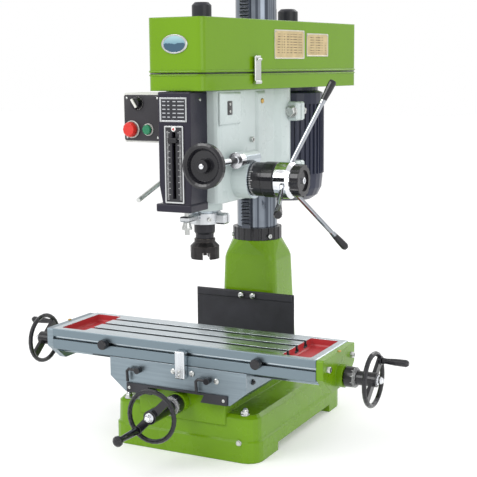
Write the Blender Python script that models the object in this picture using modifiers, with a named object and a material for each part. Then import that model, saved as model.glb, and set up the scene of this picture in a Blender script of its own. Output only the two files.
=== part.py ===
"""Benchtop milling machine: round column, geared head on a rack, cross-slide table.

Metres, +Z up. The operator stands at -Y, and +X is the operator's right. All places below are
given in the machine's own frame, whose Z axis is the column's axis and whose Z = 0 is the bench.
One empty carries everything and shifts it along Y, so that the origin is under the middle of the
whole machine.
"""

import math

import bmesh
import bpy
from mathutils import Matrix, Vector

# ---------------------------------------------------------------- clearances
FIT = 0.0003  # gap between two pieces that touch
SLIDE_FIT = 0.0005  # gap between the flanks of a dovetail

# ---------------------------------------------------------------- column
COLUMN_DIAMETER = 0.075
COLUMN_WALL = 0.007
COLUMN_TOP = 0.850
FOOT_TOP = 0.327
FOOT_SIDE_WALL = 0.0145  # beside the column
FOOT_ROOT_Z = 0.098
FOOT_ROOT_WALL = 0.011  # in front of the column, at the root and at the neck
FOOT_NECK_Z = 0.292
FOOT_NECK_WALL = 0.005
CHIP_GUARD_GAP = 0.008  # from the foot's root to the sheet's front
COLLAR_HEIGHT = 0.0227
COLLAR_WALL = 0.008
RACK_WIDTH = 0.016
RACK_THICKNESS = 0.014
CAP_OVERHANG = 0.003

# ---------------------------------------------------------------- gears (both racks and pinions)
GEAR_MODULE = 0.002
PINION_TEETH = 12
BACKLASH = 0.0006

# ---------------------------------------------------------------- base
BASE_WIDTH = 0.279
BASE_FRONT = -0.295
BASE_BACK = 0.0815
SHOULDER_HEIGHT = 0.079
PLINTH_HEIGHT = 0.034
WAY_RISE = 0.021
WAY_WIDTH = 0.166
FOOT_RELIEF = 0.014
BASE_WALL = 0.020
CROSS_BOSS_LENGTH = 0.016

# ---------------------------------------------------------------- slides
DOVETAIL_HEIGHT = 0.0117
CROSS_DOVETAIL_WIDTH = 0.104
TABLE_DOVETAIL_WIDTH = 0.079
DOVETAIL_LEAN = math.tan(math.radians(30))
SADDLE_WIDTH = 0.260
SADDLE_THICKNESS = 0.0573
SCREW_DIAMETER = 0.012
SCREW_END_DIAMETER = 0.010

# ---------------------------------------------------------------- table
TABLE_LENGTH = 0.500
TABLE_WIDTH = 0.138
TABLE_THICKNESS = 0.0365
TABLE_CENTRE_Y = -0.241
T_SLOTS = 3
T_SLOT_PITCH = 0.035
T_SLOT_WIDTH = 0.010
WELL_LENGTH = 0.050
WELL_MARGIN = 0.012
WELL_DEPTH = 0.014
BRACKET_THICKNESS = 0.012

# ---------------------------------------------------------------- handwheels
WHEEL_RADIUS = 0.0415
WHEEL_RIM = 0.004
DIAL_RADIUS = 0.0165
TABLE_WHEEL_REACH = 0.070  # from the table's end to the wheel's plane
CROSS_WHEEL_Y = -0.389
GRIP_RADIUS = 0.006
TABLE_GRIP_LENGTH = 0.044
CROSS_GRIP_LENGTH = 0.062

# ---------------------------------------------------------------- head
THROAT = 0.205  # column axis to spindle axis
HEAD_BOTTOM = 0.420
HEAD_TOP = 0.606
HEAD_WIDTH = 0.104
HEAD_FRONT = -0.245
COLUMN_CLAMP_WALL = 0.025
QUILL_DIAMETER = 0.045
QUILL_BOTTOM = 0.381
QUILL_TOP = 0.560
SPINDLE_DIAMETER = 0.025
SPLINE_DIAMETER = 0.018
CUTTER_DIAMETER = 0.050
PANEL_WIDTH = 0.060
PANEL_FRONT = -0.302
PANEL_BOTTOM = 0.411
PANEL_WALL = 0.003
DEPTH_ROD_Y = -0.2656

# ---------------------------------------------------------------- feed
FEED_Z = 0.457
FEED_SHAFT_DIAMETER = 0.016
FEED_BOSS_RADIUS = 0.0334
FEED_BOSS_END = 0.082
HUB_RADIUS = 0.031
SPOKE_DIAMETER = 0.008
SPOKE_TIP_RADIUS = 0.172
SPOKE_TIP_X = 0.202
SPOKE_ANGLES = (72.0, -48.0, 192.0)
FINE_FEED_RISE = 0.034
FINE_FEED_X = 0.070
FINE_WHEEL_RADIUS = 0.0364

# ---------------------------------------------------------------- drive
MOTOR_OFFSET = 0.140
MOTOR_RADIUS = 0.068
MOTOR_BOTTOM = 0.386
GUARD_SEAM = 0.634
GUARD_TOP = 0.723
GUARD_WALL = 0.003
STEP_COUNT = 4
STEP_CHANGE = 0.005
SPINDLE_STEP_OFFSET = 0.0075  # the largest spindle step's radius, less the column's
MOTOR_STEP_OFFSET = 0.0055  # the smallest motor step's radius, less the column's
STEP_HEIGHT = 0.016
BELT_STEP = 1
BELT_THICKNESS = 0.007

# ---------------------------------------------------------------- derived places
COLUMN_RADIUS = COLUMN_DIAMETER / 2
CAP_RADIUS = COLUMN_RADIUS + RACK_THICKNESS + CAP_OVERHANG
COLLAR_DIAMETER = COLUMN_DIAMETER + 2 * COLLAR_WALL
COLUMN_CLAMP_RADIUS = COLUMN_RADIUS + COLUMN_CLAMP_WALL
FOOT_HALF_WIDTH = COLUMN_RADIUS + FOOT_SIDE_WALL
FOOT_ROOT_FRONT = -(COLUMN_RADIUS + FOOT_ROOT_WALL)
FOOT_NECK_FRONT = -(COLUMN_RADIUS + FOOT_NECK_WALL)
SPINDLE_STEPS = [COLUMN_RADIUS + SPINDLE_STEP_OFFSET - i * STEP_CHANGE for i in range(STEP_COUNT)]
MOTOR_STEPS = [COLUMN_RADIUS + MOTOR_STEP_OFFSET + i * STEP_CHANGE for i in range(STEP_COUNT)]
WAY_Z = SHOULDER_HEIGHT + WAY_RISE
SADDLE_BOTTOM = WAY_Z + FIT
SADDLE_TOP = SADDLE_BOTTOM + SADDLE_THICKNESS
TABLE_BOTTOM = SADDLE_TOP + FIT
TABLE_TOP = TABLE_BOTTOM + TABLE_THICKNESS
SADDLE_FRONT = TABLE_CENTRE_Y - TABLE_WIDTH / 2
SADDLE_BACK = TABLE_CENTRE_Y + TABLE_WIDTH / 2
CROSS_SCREW_Z = WAY_Z - 0.008
TABLE_SCREW_Z = SADDLE_TOP - 0.0036
SCREW_RADIUS = SCREW_DIAMETER / 2
SCREW_END_RADIUS = SCREW_END_DIAMETER / 2
TABLE_END = TABLE_LENGTH / 2
TABLE_WHEEL_X = TABLE_END + TABLE_WHEEL_REACH
WELL_END = TABLE_END - WELL_MARGIN
WELL_START = WELL_END - WELL_LENGTH
TOOTH_PITCH = math.pi * GEAR_MODULE
PITCH_RADIUS = GEAR_MODULE * PINION_TEETH / 2
RACK_BACK = -(COLUMN_RADIUS + FIT)
RACK_TIP = RACK_BACK - RACK_THICKNESS
LIFT_Y = RACK_TIP + GEAR_MODULE - PITCH_RADIUS
LIFT_Z = 0.497
QUILL_RADIUS = QUILL_DIAMETER / 2
SPINDLE_Y = -THROAT
FEED_Y = -THROAT + QUILL_RADIUS - 0.0045 + PITCH_RADIUS
RACK_BOTTOM = FOOT_TOP + COLLAR_HEIGHT + 2 * FIT
PULLEY_BOTTOM = HEAD_TOP + 0.010
HALF_HEAD = HEAD_WIDTH / 2
FRONT_END = CROSS_WHEEL_Y - WHEEL_RIM - 0.0006 - CROSS_GRIP_LENGTH
BACK_END = MOTOR_OFFSET + MOTOR_RADIUS + 0.007
MACHINE_SHIFT = Vector((0.0, -(FRONT_END + BACK_END) / 2, 0.0))

SMALL = 12
MEDIUM = 20
LARGE = 28
TURN = {"X": (0, math.pi / 2, 0), "Y": (-math.pi / 2, 0, 0), "Z": (0, 0, 0)}

# Each moving body: the body that carries it, and a point on its joint's axis.
BODIES = {
    "machine": (None, (0, 0, 0)),
    "rack_swivel": ("machine", (0, 0, RACK_BOTTOM)),
    "head": ("rack_swivel", (0, 0, HEAD_BOTTOM)),
    "saddle_slide": ("machine", (0, TABLE_CENTRE_Y, SADDLE_BOTTOM)),
    "table_slide": ("saddle_slide", (0, TABLE_CENTRE_Y, TABLE_BOTTOM)),
    "cross_screw": ("machine", (0, BASE_FRONT, CROSS_SCREW_Z)),
    "table_screw": ("table_slide", (0, TABLE_CENTRE_Y, TABLE_SCREW_Z)),
    "quill_slide": ("head", (0, SPINDLE_Y, QUILL_BOTTOM)),
    "spindle_turn": ("quill_slide", (0, SPINDLE_Y, QUILL_BOTTOM)),
    "feed_turn": ("head", (0, FEED_Y, FEED_Z)),
}


# ================================================================ tools
def clear_scene():
    for obj in list(bpy.data.objects):
        bpy.data.objects.remove(obj, do_unlink=True)


def make_collection(name, hidden=False):
    collection = bpy.data.collections.new(name)
    bpy.context.scene.collection.children.link(collection)
    collection.hide_render = hidden
    return collection


def make_body(name):
    """An empty on the body's joint axis, which carries the body's parts."""
    parent, point = BODIES[name]
    empty = bpy.data.objects.new("body_" + name, None)
    empty.empty_display_size = 0.02
    PARTS.objects.link(empty)
    if parent:
        empty.parent = EMPTIES[parent]
        empty.location = Vector(point) - Vector(BODIES[parent][1])
    else:
        empty.location = MACHINE_SHIFT
    EMPTIES[name] = empty


def material(name, colour, roughness, metallic=0.0):
    made = bpy.data.materials.new(name)
    made.use_nodes = True
    shader = made.node_tree.nodes["Principled BSDF"]
    shader.inputs["Base Color"].default_value = (*colour, 1.0)
    shader.inputs["Roughness"].default_value = roughness
    shader.inputs["Metallic"].default_value = metallic
    made.diffuse_color = (*colour, 1.0)
    return made


def helper(mesh, at, turn=(0, 0, 0)):
    """A shape at its place in the machine's frame, not yet a part."""
    obj = bpy.data.objects.new(mesh.name, mesh)
    CUTTERS.objects.link(obj)
    obj.parent = EMPTIES["machine"]
    obj.location = at
    obj.rotation_euler = turn
    obj.hide_render = True
    obj.display_type = "WIRE"
    return obj


def mesh_from(bm, name):
    mesh = bpy.data.meshes.new(name)
    bm.to_mesh(mesh)
    bm.free()
    return mesh


def block(low, high, bevel=0.0, segments=2):
    """A box between two corners, with all its edges rounded by bevel."""
    low, high = Vector(low), Vector(high)
    bm = bmesh.new()
    bmesh.ops.create_cube(bm, size=1.0, matrix=Matrix.Diagonal((*(high - low), 1.0)))
    obj = helper(mesh_from(bm, "block"), (low + high) / 2)
    if bevel:
        soften(obj, bevel, segments)
    return obj


def soften(obj, width, segments=1, angle=40):
    bevel = obj.modifiers.new("Bevel", "BEVEL")
    bevel.width = width
    bevel.segments = segments
    bevel.limit_method = "ANGLE"
    bevel.angle_limit = math.radians(angle)
    return obj


def rod(radius, start, end, axis, place, sides=MEDIUM, tip_radius=None):
    """A cylinder or cone along axis from start to end; place gives its axis in the other two directions."""
    bm = bmesh.new()
    tip_radius = radius if tip_radius is None else tip_radius
    bmesh.ops.create_cone(bm, cap_ends=True, segments=sides, radius1=radius, radius2=tip_radius,
                          depth=end - start)
    return helper(mesh_from(bm, "rod"), on_axis(axis, place, (start + end) / 2), TURN[axis])


def on_axis(axis, place, along):
    """The point at a distance along an axis: place holds its other two coordinates in X, Y, Z order."""
    point = list(place)
    point.insert("XYZ".index(axis), along)
    return tuple(point)


def turned(profile, axis, place, sides=MEDIUM, closed=False):
    """A lathe shape: profile is (radius, distance along axis), down the outer side from the far end."""
    bm = bmesh.new()
    verts = [bm.verts.new((radius, 0, along)) for radius, along in profile]
    for first, second in zip(verts, verts[1:] + (verts[:1] if closed else [])):
        bm.edges.new((first, second))
    obj = helper(mesh_from(bm, "turned"), on_axis(axis, place, 0.0), TURN[axis])
    screw = obj.modifiers.new("Screw", "SCREW")
    screw.steps = screw.render_steps = sides
    screw.use_merge_vertices = True
    screw.merge_threshold = 0.00001
    return obj


def ring(outer, inner, start, end, axis, place, sides=MEDIUM):
    return turned([(outer, end), (outer, start), (inner, start), (inner, end)], axis, place, sides, True)


def outline(loops, start, end, axis):
    """A flat outline, with any holes, made as thick as start to end along axis.

    The loops are (X, Y) for axis Z, (Y, Z) for axis X and (X, Z) for axis Y.
    """
    flat = bpy.data.curves.new("outline", "CURVE")
    flat.dimensions = "2D"
    flat.fill_mode = "BOTH"
    flat.extrude = (end - start) / 2
    for loop in loops:
        spline = flat.splines.new("POLY")
        spline.points.add(len(loop) - 1)
        for point, (across, up) in zip(spline.points, loop):
            point.co = (across, up, 0, 1)
        spline.use_cyclic_u = True
    curve = bpy.data.objects.new("outline", flat)
    CUTTERS.objects.link(curve)
    obj = helper(solid_of(curve), (0, 0, 0))
    middle = (start + end) / 2
    if axis == "Z":
        obj.location = (0, 0, middle)
    elif axis == "X":
        obj.location = (middle, 0, 0)
        obj.rotation_euler = (math.pi / 2, 0, math.pi / 2)
    else:
        obj.location = (0, middle, 0)
        obj.rotation_euler = (math.pi / 2, 0, 0)
    return obj


def solid_of(curve):
    """The curve's evaluated mesh with its caps welded; the curve is removed."""
    bpy.context.view_layer.update()
    graph = bpy.context.evaluated_depsgraph_get()
    mesh = bpy.data.meshes.new_from_object(curve.evaluated_get(graph))
    bm = bmesh.new()
    bm.from_mesh(mesh)
    bmesh.ops.remove_doubles(bm, verts=bm.verts, dist=0.000001)
    bmesh.ops.recalc_face_normals(bm, faces=bm.faces)
    bm.to_mesh(mesh)
    bm.free()
    bpy.data.objects.remove(curve, do_unlink=True)
    return mesh


def bar(points, radius, sides_resolution=2):
    """A round bar through the points, with flat ends."""
    path = bpy.data.curves.new("bar", "CURVE")
    path.dimensions = "3D"
    path.bevel_depth = radius
    path.bevel_resolution = sides_resolution
    path.use_fill_caps = True
    spline = path.splines.new("POLY")
    spline.points.add(len(points) - 1)
    for point, co in zip(spline.points, points):
        point.co = (*co, 1)
    curve = bpy.data.objects.new("bar", path)
    CUTTERS.objects.link(curve)
    return helper(solid_of(curve), (0, 0, 0))


def stretch_between(profile, start, end, sides=SMALL):
    """A lathe shape whose axis runs from start towards end; profile as for turned."""
    obj = turned(profile, "Z", (0, 0), sides)
    obj.location = start
    obj.rotation_mode = "QUATERNION"
    obj.rotation_quaternion = (Vector(end) - Vector(start)).to_track_quat("Z", "Y")
    return obj


def loft(rings):
    """A solid through rings of equal point counts, closed at both ends."""
    bm = bmesh.new()
    rows = [[bm.verts.new(point) for point in points] for points in rings]
    count = len(rows[0])
    for lower, upper in zip(rows, rows[1:]):
        for i in range(count):
            j = (i + 1) % count
            bm.faces.new((lower[i], lower[j], upper[j], upper[i]))
    bm.faces.new(list(reversed(rows[0])))
    bm.faces.new(rows[-1])
    bmesh.ops.recalc_face_normals(bm, faces=bm.faces)
    return helper(mesh_from(bm, "loft"), (0, 0, 0))


def rounded_ring(half_x, front, back, radius, z, steps=4):
    """A rounded rectangle at one height, as points for loft."""
    return [(x, y, z) for x, y in rounded(rectangle(half_x, front, back), radius, steps)]


def rectangle(half_x, front, back):
    return [(half_x, back), (-half_x, back), (-half_x, front), (half_x, front)]


def circle(radius, count=LARGE, centre=(0.0, 0.0), phase=0.0):
    angles = [math.tau * i / count + phase for i in range(count)]
    return [(centre[0] + radius * math.cos(a), centre[1] + radius * math.sin(a)) for a in angles]


def rounded(corners, radius, steps=4):
    """The outline with each corner turned into an arc of steps + 1 points."""
    made = []
    for i, corner in enumerate(corners):
        corner = Vector(corner)
        before = (Vector(corners[i - 1]) - corner).normalized()
        after = (Vector(corners[(i + 1) % len(corners)]) - corner).normalized()
        half_angle = before.angle(after) / 2
        centre = corner + (before + after).normalized() * (radius / math.sin(half_angle))
        start = corner + before * (radius / math.tan(half_angle)) - centre
        turn = start.angle_signed(corner + after * (radius / math.tan(half_angle)) - centre)
        for step in range(steps + 1):
            angle = -turn * step / steps
            cos, sin = math.cos(angle), math.sin(angle)
            made.append((centre.x + start.x * cos - start.y * sin,
                         centre.y + start.x * sin + start.y * cos))
    return made


def part(name, base, body, finish, add=(), cut=()):
    """Makes a helper shape a named part, joined with the shapes in add and cut by those in cut."""
    for other, operation in [(o, "UNION") for o in add] + [(o, "DIFFERENCE") for o in cut]:
        boolean = base.modifiers.new(operation.title(), "BOOLEAN")
        boolean.operation = operation
        boolean.object = other
        other.name = name + "_cutter"
    CUTTERS.objects.unlink(base)
    PARTS.objects.link(base)
    base.name = base.data.name = name
    base.hide_render = False
    base.display_type = "TEXTURED"
    base.parent = EMPTIES[body]
    base.location = base.location - body_point(body)
    base.data.materials.append(FINISHES[finish])
    smooth(base)
    return base


def body_point(body):
    return Vector(BODIES[body][1]) if body != "machine" else Vector((0, 0, 0))


def smooth(obj):
    obj.data.shade_smooth()
    obj.data.set_sharp_from_angle(angle=math.radians(35))


def joined(base, add=(), cut=()):
    """A helper shape with others joined to it and cut from it."""
    for other, operation in [(o, "UNION") for o in add] + [(o, "DIFFERENCE") for o in cut]:
        boolean = base.modifiers.new(operation.title(), "BOOLEAN")
        boolean.operation = operation
        boolean.object = other
    return base


# ================================================================ gears
def tooth_half_width(depth):
    """Half a rack tooth's width at a depth below the pitch line."""
    return TOOTH_PITCH / 4 - BACKLASH / 2 + depth * math.tan(math.radians(20))


def rack_points(start, end, root, direction, centre=None):
    """The toothed edge from start to end: (height, depth) points; direction is the side the teeth face."""
    centre = (start + end) / 2 if centre is None else centre
    tip = 2 * GEAR_MODULE + GEAR_MODULE / 4
    points = []
    first = math.ceil((start + TOOTH_PITCH / 2 - centre) / TOOTH_PITCH)
    last = math.floor((end - TOOTH_PITCH / 2 - centre) / TOOTH_PITCH)
    for i in range(first, last + 1):
        middle = centre + i * TOOTH_PITCH
        foot, top = tooth_half_width(GEAR_MODULE * 1.25), tooth_half_width(-GEAR_MODULE)
        points += [(middle - foot, root), (middle - top, root + direction * tip),
                   (middle + top, root + direction * tip), (middle + foot, root)]
    return points


def pinion_outline(centre, phase):
    """A pinion's toothed outline about a centre, one tooth standing at the angle phase."""
    points = []
    half = [(PITCH_RADIUS - 1.2 * GEAR_MODULE, 0.00165), (PITCH_RADIUS - 0.3 * GEAR_MODULE, 0.00145),
            (PITCH_RADIUS + 0.4 * GEAR_MODULE, 0.00100), (PITCH_RADIUS + 0.95 * GEAR_MODULE, 0.00045)]
    for i in range(PINION_TEETH):
        angle = phase + math.tau * i / PINION_TEETH
        for side, steps in ((-1, half), (1, half[::-1])):
            for radius, width in steps:
                a = angle + side * width / radius
                points.append((centre[0] + radius * math.cos(a), centre[1] + radius * math.sin(a)))
    return points


def dovetail(centre, bottom, top, wide, narrow, wide_at_top):
    """A dovetail section as (across, up) points."""
    low, high = (narrow, wide) if wide_at_top else (wide, narrow)
    return [(centre - low, bottom), (centre + low, bottom), (centre + high, top), (centre - high, top)]


# ================================================================ base and column
def build_base():
    half, back, front = BASE_WIDTH / 2, BASE_BACK, BASE_FRONT
    steps = [(0, 0.0, 0.026), (PLINTH_HEIGHT, 0.0, 0.026), (PLINTH_HEIGHT + 0.003, 0.003, 0.024),
             (SHOULDER_HEIGHT - 0.006, 0.004, 0.024), (SHOULDER_HEIGHT, 0.010, 0.020)]
    body = loft([rounded_ring(half - i, front + i, back - i, r, z) for z, i, r in steps])
    way_end = -FOOT_HALF_WIDTH - 0.012
    way = soften(block((-WAY_WIDTH / 2, front, SHOULDER_HEIGHT - 0.020),
                       (WAY_WIDTH / 2, way_end, WAY_Z)), 0.002)
    narrow = CROSS_DOVETAIL_WIDTH / 2 - DOVETAIL_HEIGHT * DOVETAIL_LEAN
    tail = outline([dovetail(0, WAY_Z - 0.004, WAY_Z + DOVETAIL_HEIGHT, CROSS_DOVETAIL_WIDTH / 2,
                             narrow - 0.004 * DOVETAIL_LEAN, True)], front, way_end, "Y")
    rear_top = SHOULDER_HEIGHT - 0.019
    under = block((-half + BASE_WALL, front + BASE_WALL, -0.01),
                  (half - BASE_WALL, back - BASE_WALL, rear_top))
    feet = block((-half - 0.01, front + 0.085, -0.01), (half + 0.01, back - 0.0635, FOOT_RELIEF))
    screw_slot = block((-0.013, front + 0.016, SHOULDER_HEIGHT - 0.001), (0.013, way_end - 0.020, 0.2))
    screw_place = (0, CROSS_SCREW_Z)
    boss = rod(0.0175, front - CROSS_BOSS_LENGTH, front + 0.005, "Y", screw_place)
    screw_hole = rod(SCREW_RADIUS + FIT, front - 0.03, front + 0.03, "Y", screw_place, SMALL)
    part("base_casting", body, "machine", "green_paint", [way, tail, boss],
         [under, feet, screw_slot, screw_hole])


def build_column():
    flange = FOOT_HALF_WIDTH + 0.026
    steps = [(SHOULDER_HEIGHT + FIT, flange, -0.060, 0.068, 0.012),
             (FOOT_ROOT_Z - 0.0055, flange, -0.060, 0.068, 0.012),
             (FOOT_ROOT_Z, FOOT_HALF_WIDTH + 0.008, FOOT_ROOT_FRONT, 0.0555, 0.018),
             (FOOT_NECK_Z, FOOT_HALF_WIDTH, FOOT_NECK_FRONT, 0.048, 0.014),
             (FOOT_NECK_Z + 0.009, FOOT_HALF_WIDTH - 0.002, FOOT_NECK_FRONT + 0.0007, 0.046, 0.016)]
    rings = [rounded_ring(x, y0, y1, r, z) for z, x, y0, y1, r in steps]
    top_radius = COLLAR_DIAMETER / 2
    rings.append(rounded_ring(top_radius, -top_radius, top_radius, top_radius * 0.98, FOOT_TOP))
    bore = rod(COLUMN_RADIUS + FIT, 0.120, FOOT_TOP + 0.01, "Z", (0, 0), LARGE)
    part("column_foot", loft(rings), "machine", "green_paint", cut=[bore])
    notched = [(r * math.cos(a), r * math.sin(a)) for r, a in scallops(COLLAR_DIAMETER / 2, 0.0018, 20)]
    bottom = FOOT_TOP + FIT
    part("column_ring", outline([notched, circle(COLUMN_RADIUS + FIT)], bottom, bottom + COLLAR_HEIGHT,
                                "Z"),
         "machine", "black_iron")
    part("column_tube", ring(COLUMN_RADIUS, COLUMN_RADIUS - COLUMN_WALL, 0.120 + FIT,
                             COLUMN_TOP - 0.006 - FIT,
                             "Z", (0, 0), LARGE), "machine", "ground_steel")
    rack_top = COLUMN_TOP - 0.020
    teeth = [(y, z) for z, y in rack_points(RACK_BOTTOM, rack_top, RACK_TIP + 2.25 * GEAR_MODULE, -1,
                                            LIFT_Z)]
    root = RACK_TIP + 2.25 * GEAR_MODULE
    section = [(RACK_BACK, RACK_BOTTOM), (root, RACK_BOTTOM), *teeth, (root, rack_top),
               (RACK_BACK, rack_top)]
    part("column_rack", outline([section], -RACK_WIDTH / 2, RACK_WIDTH / 2, "X"), "rack_swivel",
         "ground_steel")
    cap_radius = CAP_RADIUS
    part("column_top_cap", turned([(0, COLUMN_TOP), (cap_radius - 0.004, COLUMN_TOP),
                                   (cap_radius, COLUMN_TOP - 0.004),
                                   (cap_radius, rack_top + FIT), (COLUMN_RADIUS + FIT, rack_top + FIT),
                                   (COLUMN_RADIUS + FIT, COLUMN_TOP - 0.006), (0, COLUMN_TOP - 0.006)],
                                  "Z", (0, 0), LARGE), "rack_swivel", "black_iron")


def scallops(radius, depth, count):
    """(radius, angle) points round a notched ring."""
    made = []
    for i in range(count):
        for offset, inset in ((0.0, 0), (0.55, 0), (0.62, depth), (0.93, depth)):
            made.append((radius - inset, math.tau * (i + offset) / count))
    return made


def build_guard():
    front, bottom, top = FOOT_ROOT_FRONT - CHIP_GUARD_GAP, 0.125, 0.235
    sheet = block((-0.100, front, bottom), (0.100, front + 0.003, top), 0.001, 1)
    strip = block((-0.097, front - 0.003, top - 0.013), (0.097, front + 0.001, top - 0.001), 0.001, 1)
    low = top - 0.030
    risen = (low - FOOT_ROOT_Z) / (FOOT_NECK_Z - FOOT_ROOT_Z)
    foot_face = FOOT_ROOT_FRONT + (FOOT_NECK_FRONT - FOOT_ROOT_FRONT) * risen
    spacer = block((-0.030, front + 0.002, low), (0.030, foot_face - FIT, top - 0.002))
    screws = [rod(0.0055, front - 0.0062, front, "Y", (x, top - 0.007), SMALL) for x in (-0.004, 0.020)]
    part("chip_guard", sheet, "machine", "black_rubber", [strip, spacer, *screws])


# ================================================================ cross slide
def build_cross_feed():
    place = (0, CROSS_SCREW_Z)
    end, rear = CROSS_WHEEL_Y - 0.003, -FOOT_HALF_WIDTH - 0.036
    shoulder = BASE_FRONT - CROSS_BOSS_LENGTH
    part("cross_feed_screw", turned([(0, rear), (SCREW_RADIUS, rear), (SCREW_RADIUS, shoulder),
                                     (SCREW_END_RADIUS, shoulder), (SCREW_END_RADIUS, end), (0, end)],
                                    "Y", place, SMALL), "cross_screw", "ground_steel")
    dial_end = shoulder - FIT - 0.022
    part("cross_dial", dial(dial_end, shoulder - FIT, "Y", place), "cross_screw", "black_iron")
    wheel, grip_at = handwheel("Y", place, CROSS_WHEEL_Y, dial_end - FIT, math.radians(225), -1)
    part("cross_handwheel", wheel, "cross_screw", "black_iron")
    BODIES["cross_grip_turn"] = ("cross_screw", on_axis("Y", grip_at, CROSS_WHEEL_Y))
    make_body("cross_grip_turn")
    grip = handle("Y", grip_at, CROSS_WHEEL_Y - WHEEL_RIM - 0.0006, CROSS_GRIP_LENGTH, -1, True)
    part("cross_grip", grip, "cross_grip_turn", "black_plastic")


def dial(start, end, axis, place):
    """A graduated collar with a coned face and a knurled rim."""
    low, high = sorted((start, end))
    bore = SCREW_END_RADIUS + FIT
    rim = DIAL_RADIUS
    return turned([(rim - 0.002, high), (rim, high - 0.002), (rim, low + 0.002), (rim - 0.002, low),
                   (bore, low), (bore, high)],
                  axis, place, MEDIUM, True)


def handwheel(axis, place, middle, inner, grip_angle, side):
    """A rim, a flat spoke bar and a hub; side is the way the hub faces. Returns it and the grip's place."""
    circle_points = [(WHEEL_RADIUS + WHEEL_RIM * math.cos(a), middle + WHEEL_RIM * math.sin(a))
                     for a in [-math.tau * i / 8 for i in range(8)]]
    rim = turned(circle_points, axis, place, 28, True)
    spoke = block((-WHEEL_RADIUS, -0.0065, -0.003), (WHEEL_RADIUS, 0.0065, 0.003))
    spoke.location = on_axis(axis, place, middle)
    spoke.rotation_mode = "QUATERNION"
    across = math.cos(grip_angle), math.sin(grip_angle)
    direction = Vector((across[0], 0, across[1])) if axis == "Y" else Vector((0, across[0], across[1]))
    normal = Vector((0, 1, 0)) if axis == "Y" else Vector((1, 0, 0))
    spoke.rotation_quaternion = Matrix((direction, normal.cross(direction),
                                        normal)).transposed().to_quaternion()
    hub_end = middle + side * 0.007
    low, high = sorted((inner, hub_end))
    hub = rod(0.0115, low, high, axis, place)
    bore_low, bore_high = sorted((inner - side * 0.01, middle + side * 0.003 + side * FIT))
    bore = rod(SCREW_END_RADIUS + FIT, bore_low, bore_high, axis, place, SMALL)
    reach = WHEEL_RADIUS - 0.004
    grip_at = (place[0] + reach * across[0], place[1] + reach * across[1])
    stud_low, stud_high = sorted((middle, middle + side * 0.036))
    stud = rod(0.0025, stud_low, stud_high, axis, grip_at, 12)
    pad_low, pad_high = sorted((middle - side * 0.002, middle + side * WHEEL_RIM))
    pad = rod(0.0075, pad_low, pad_high, axis, grip_at, SMALL)
    return joined(rim, [spoke, hub, pad, stud], [bore]), grip_at


def handle(axis, place, start, length, side, ball=False):
    """A crank grip that spins on its stud."""
    r = GRIP_RADIUS
    shape = [(0, length), (r * 0.6, length - 0.0004), (r, length - 0.004), (r * 0.95, length * 0.5),
             (r * 0.75, 0.006),
             (r * 0.9, 0.001), (r * 0.8, 0.0), (0, 0)]
    if ball:
        shape = [(0, length), (0.0052, length - 0.001), (0.0088, length - 0.0052),
                 (0.0088, length - 0.0090),
                 (0.0052, length - 0.0140), (0.0050, length - 0.020), (0.0062, 0.010), (0.0062,
                         0.002), (0.0052, 0), (0, 0)]
    points = [(radius, start + side * along) for radius, along in shape]
    grip = turned(points if side > 0 else points[::-1], axis, place, SMALL)
    low, high = sorted((start - side * 0.01, start + side * 0.0325))
    return joined(grip, cut=[rod(0.0028, low, high, axis, place, 12)])


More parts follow.
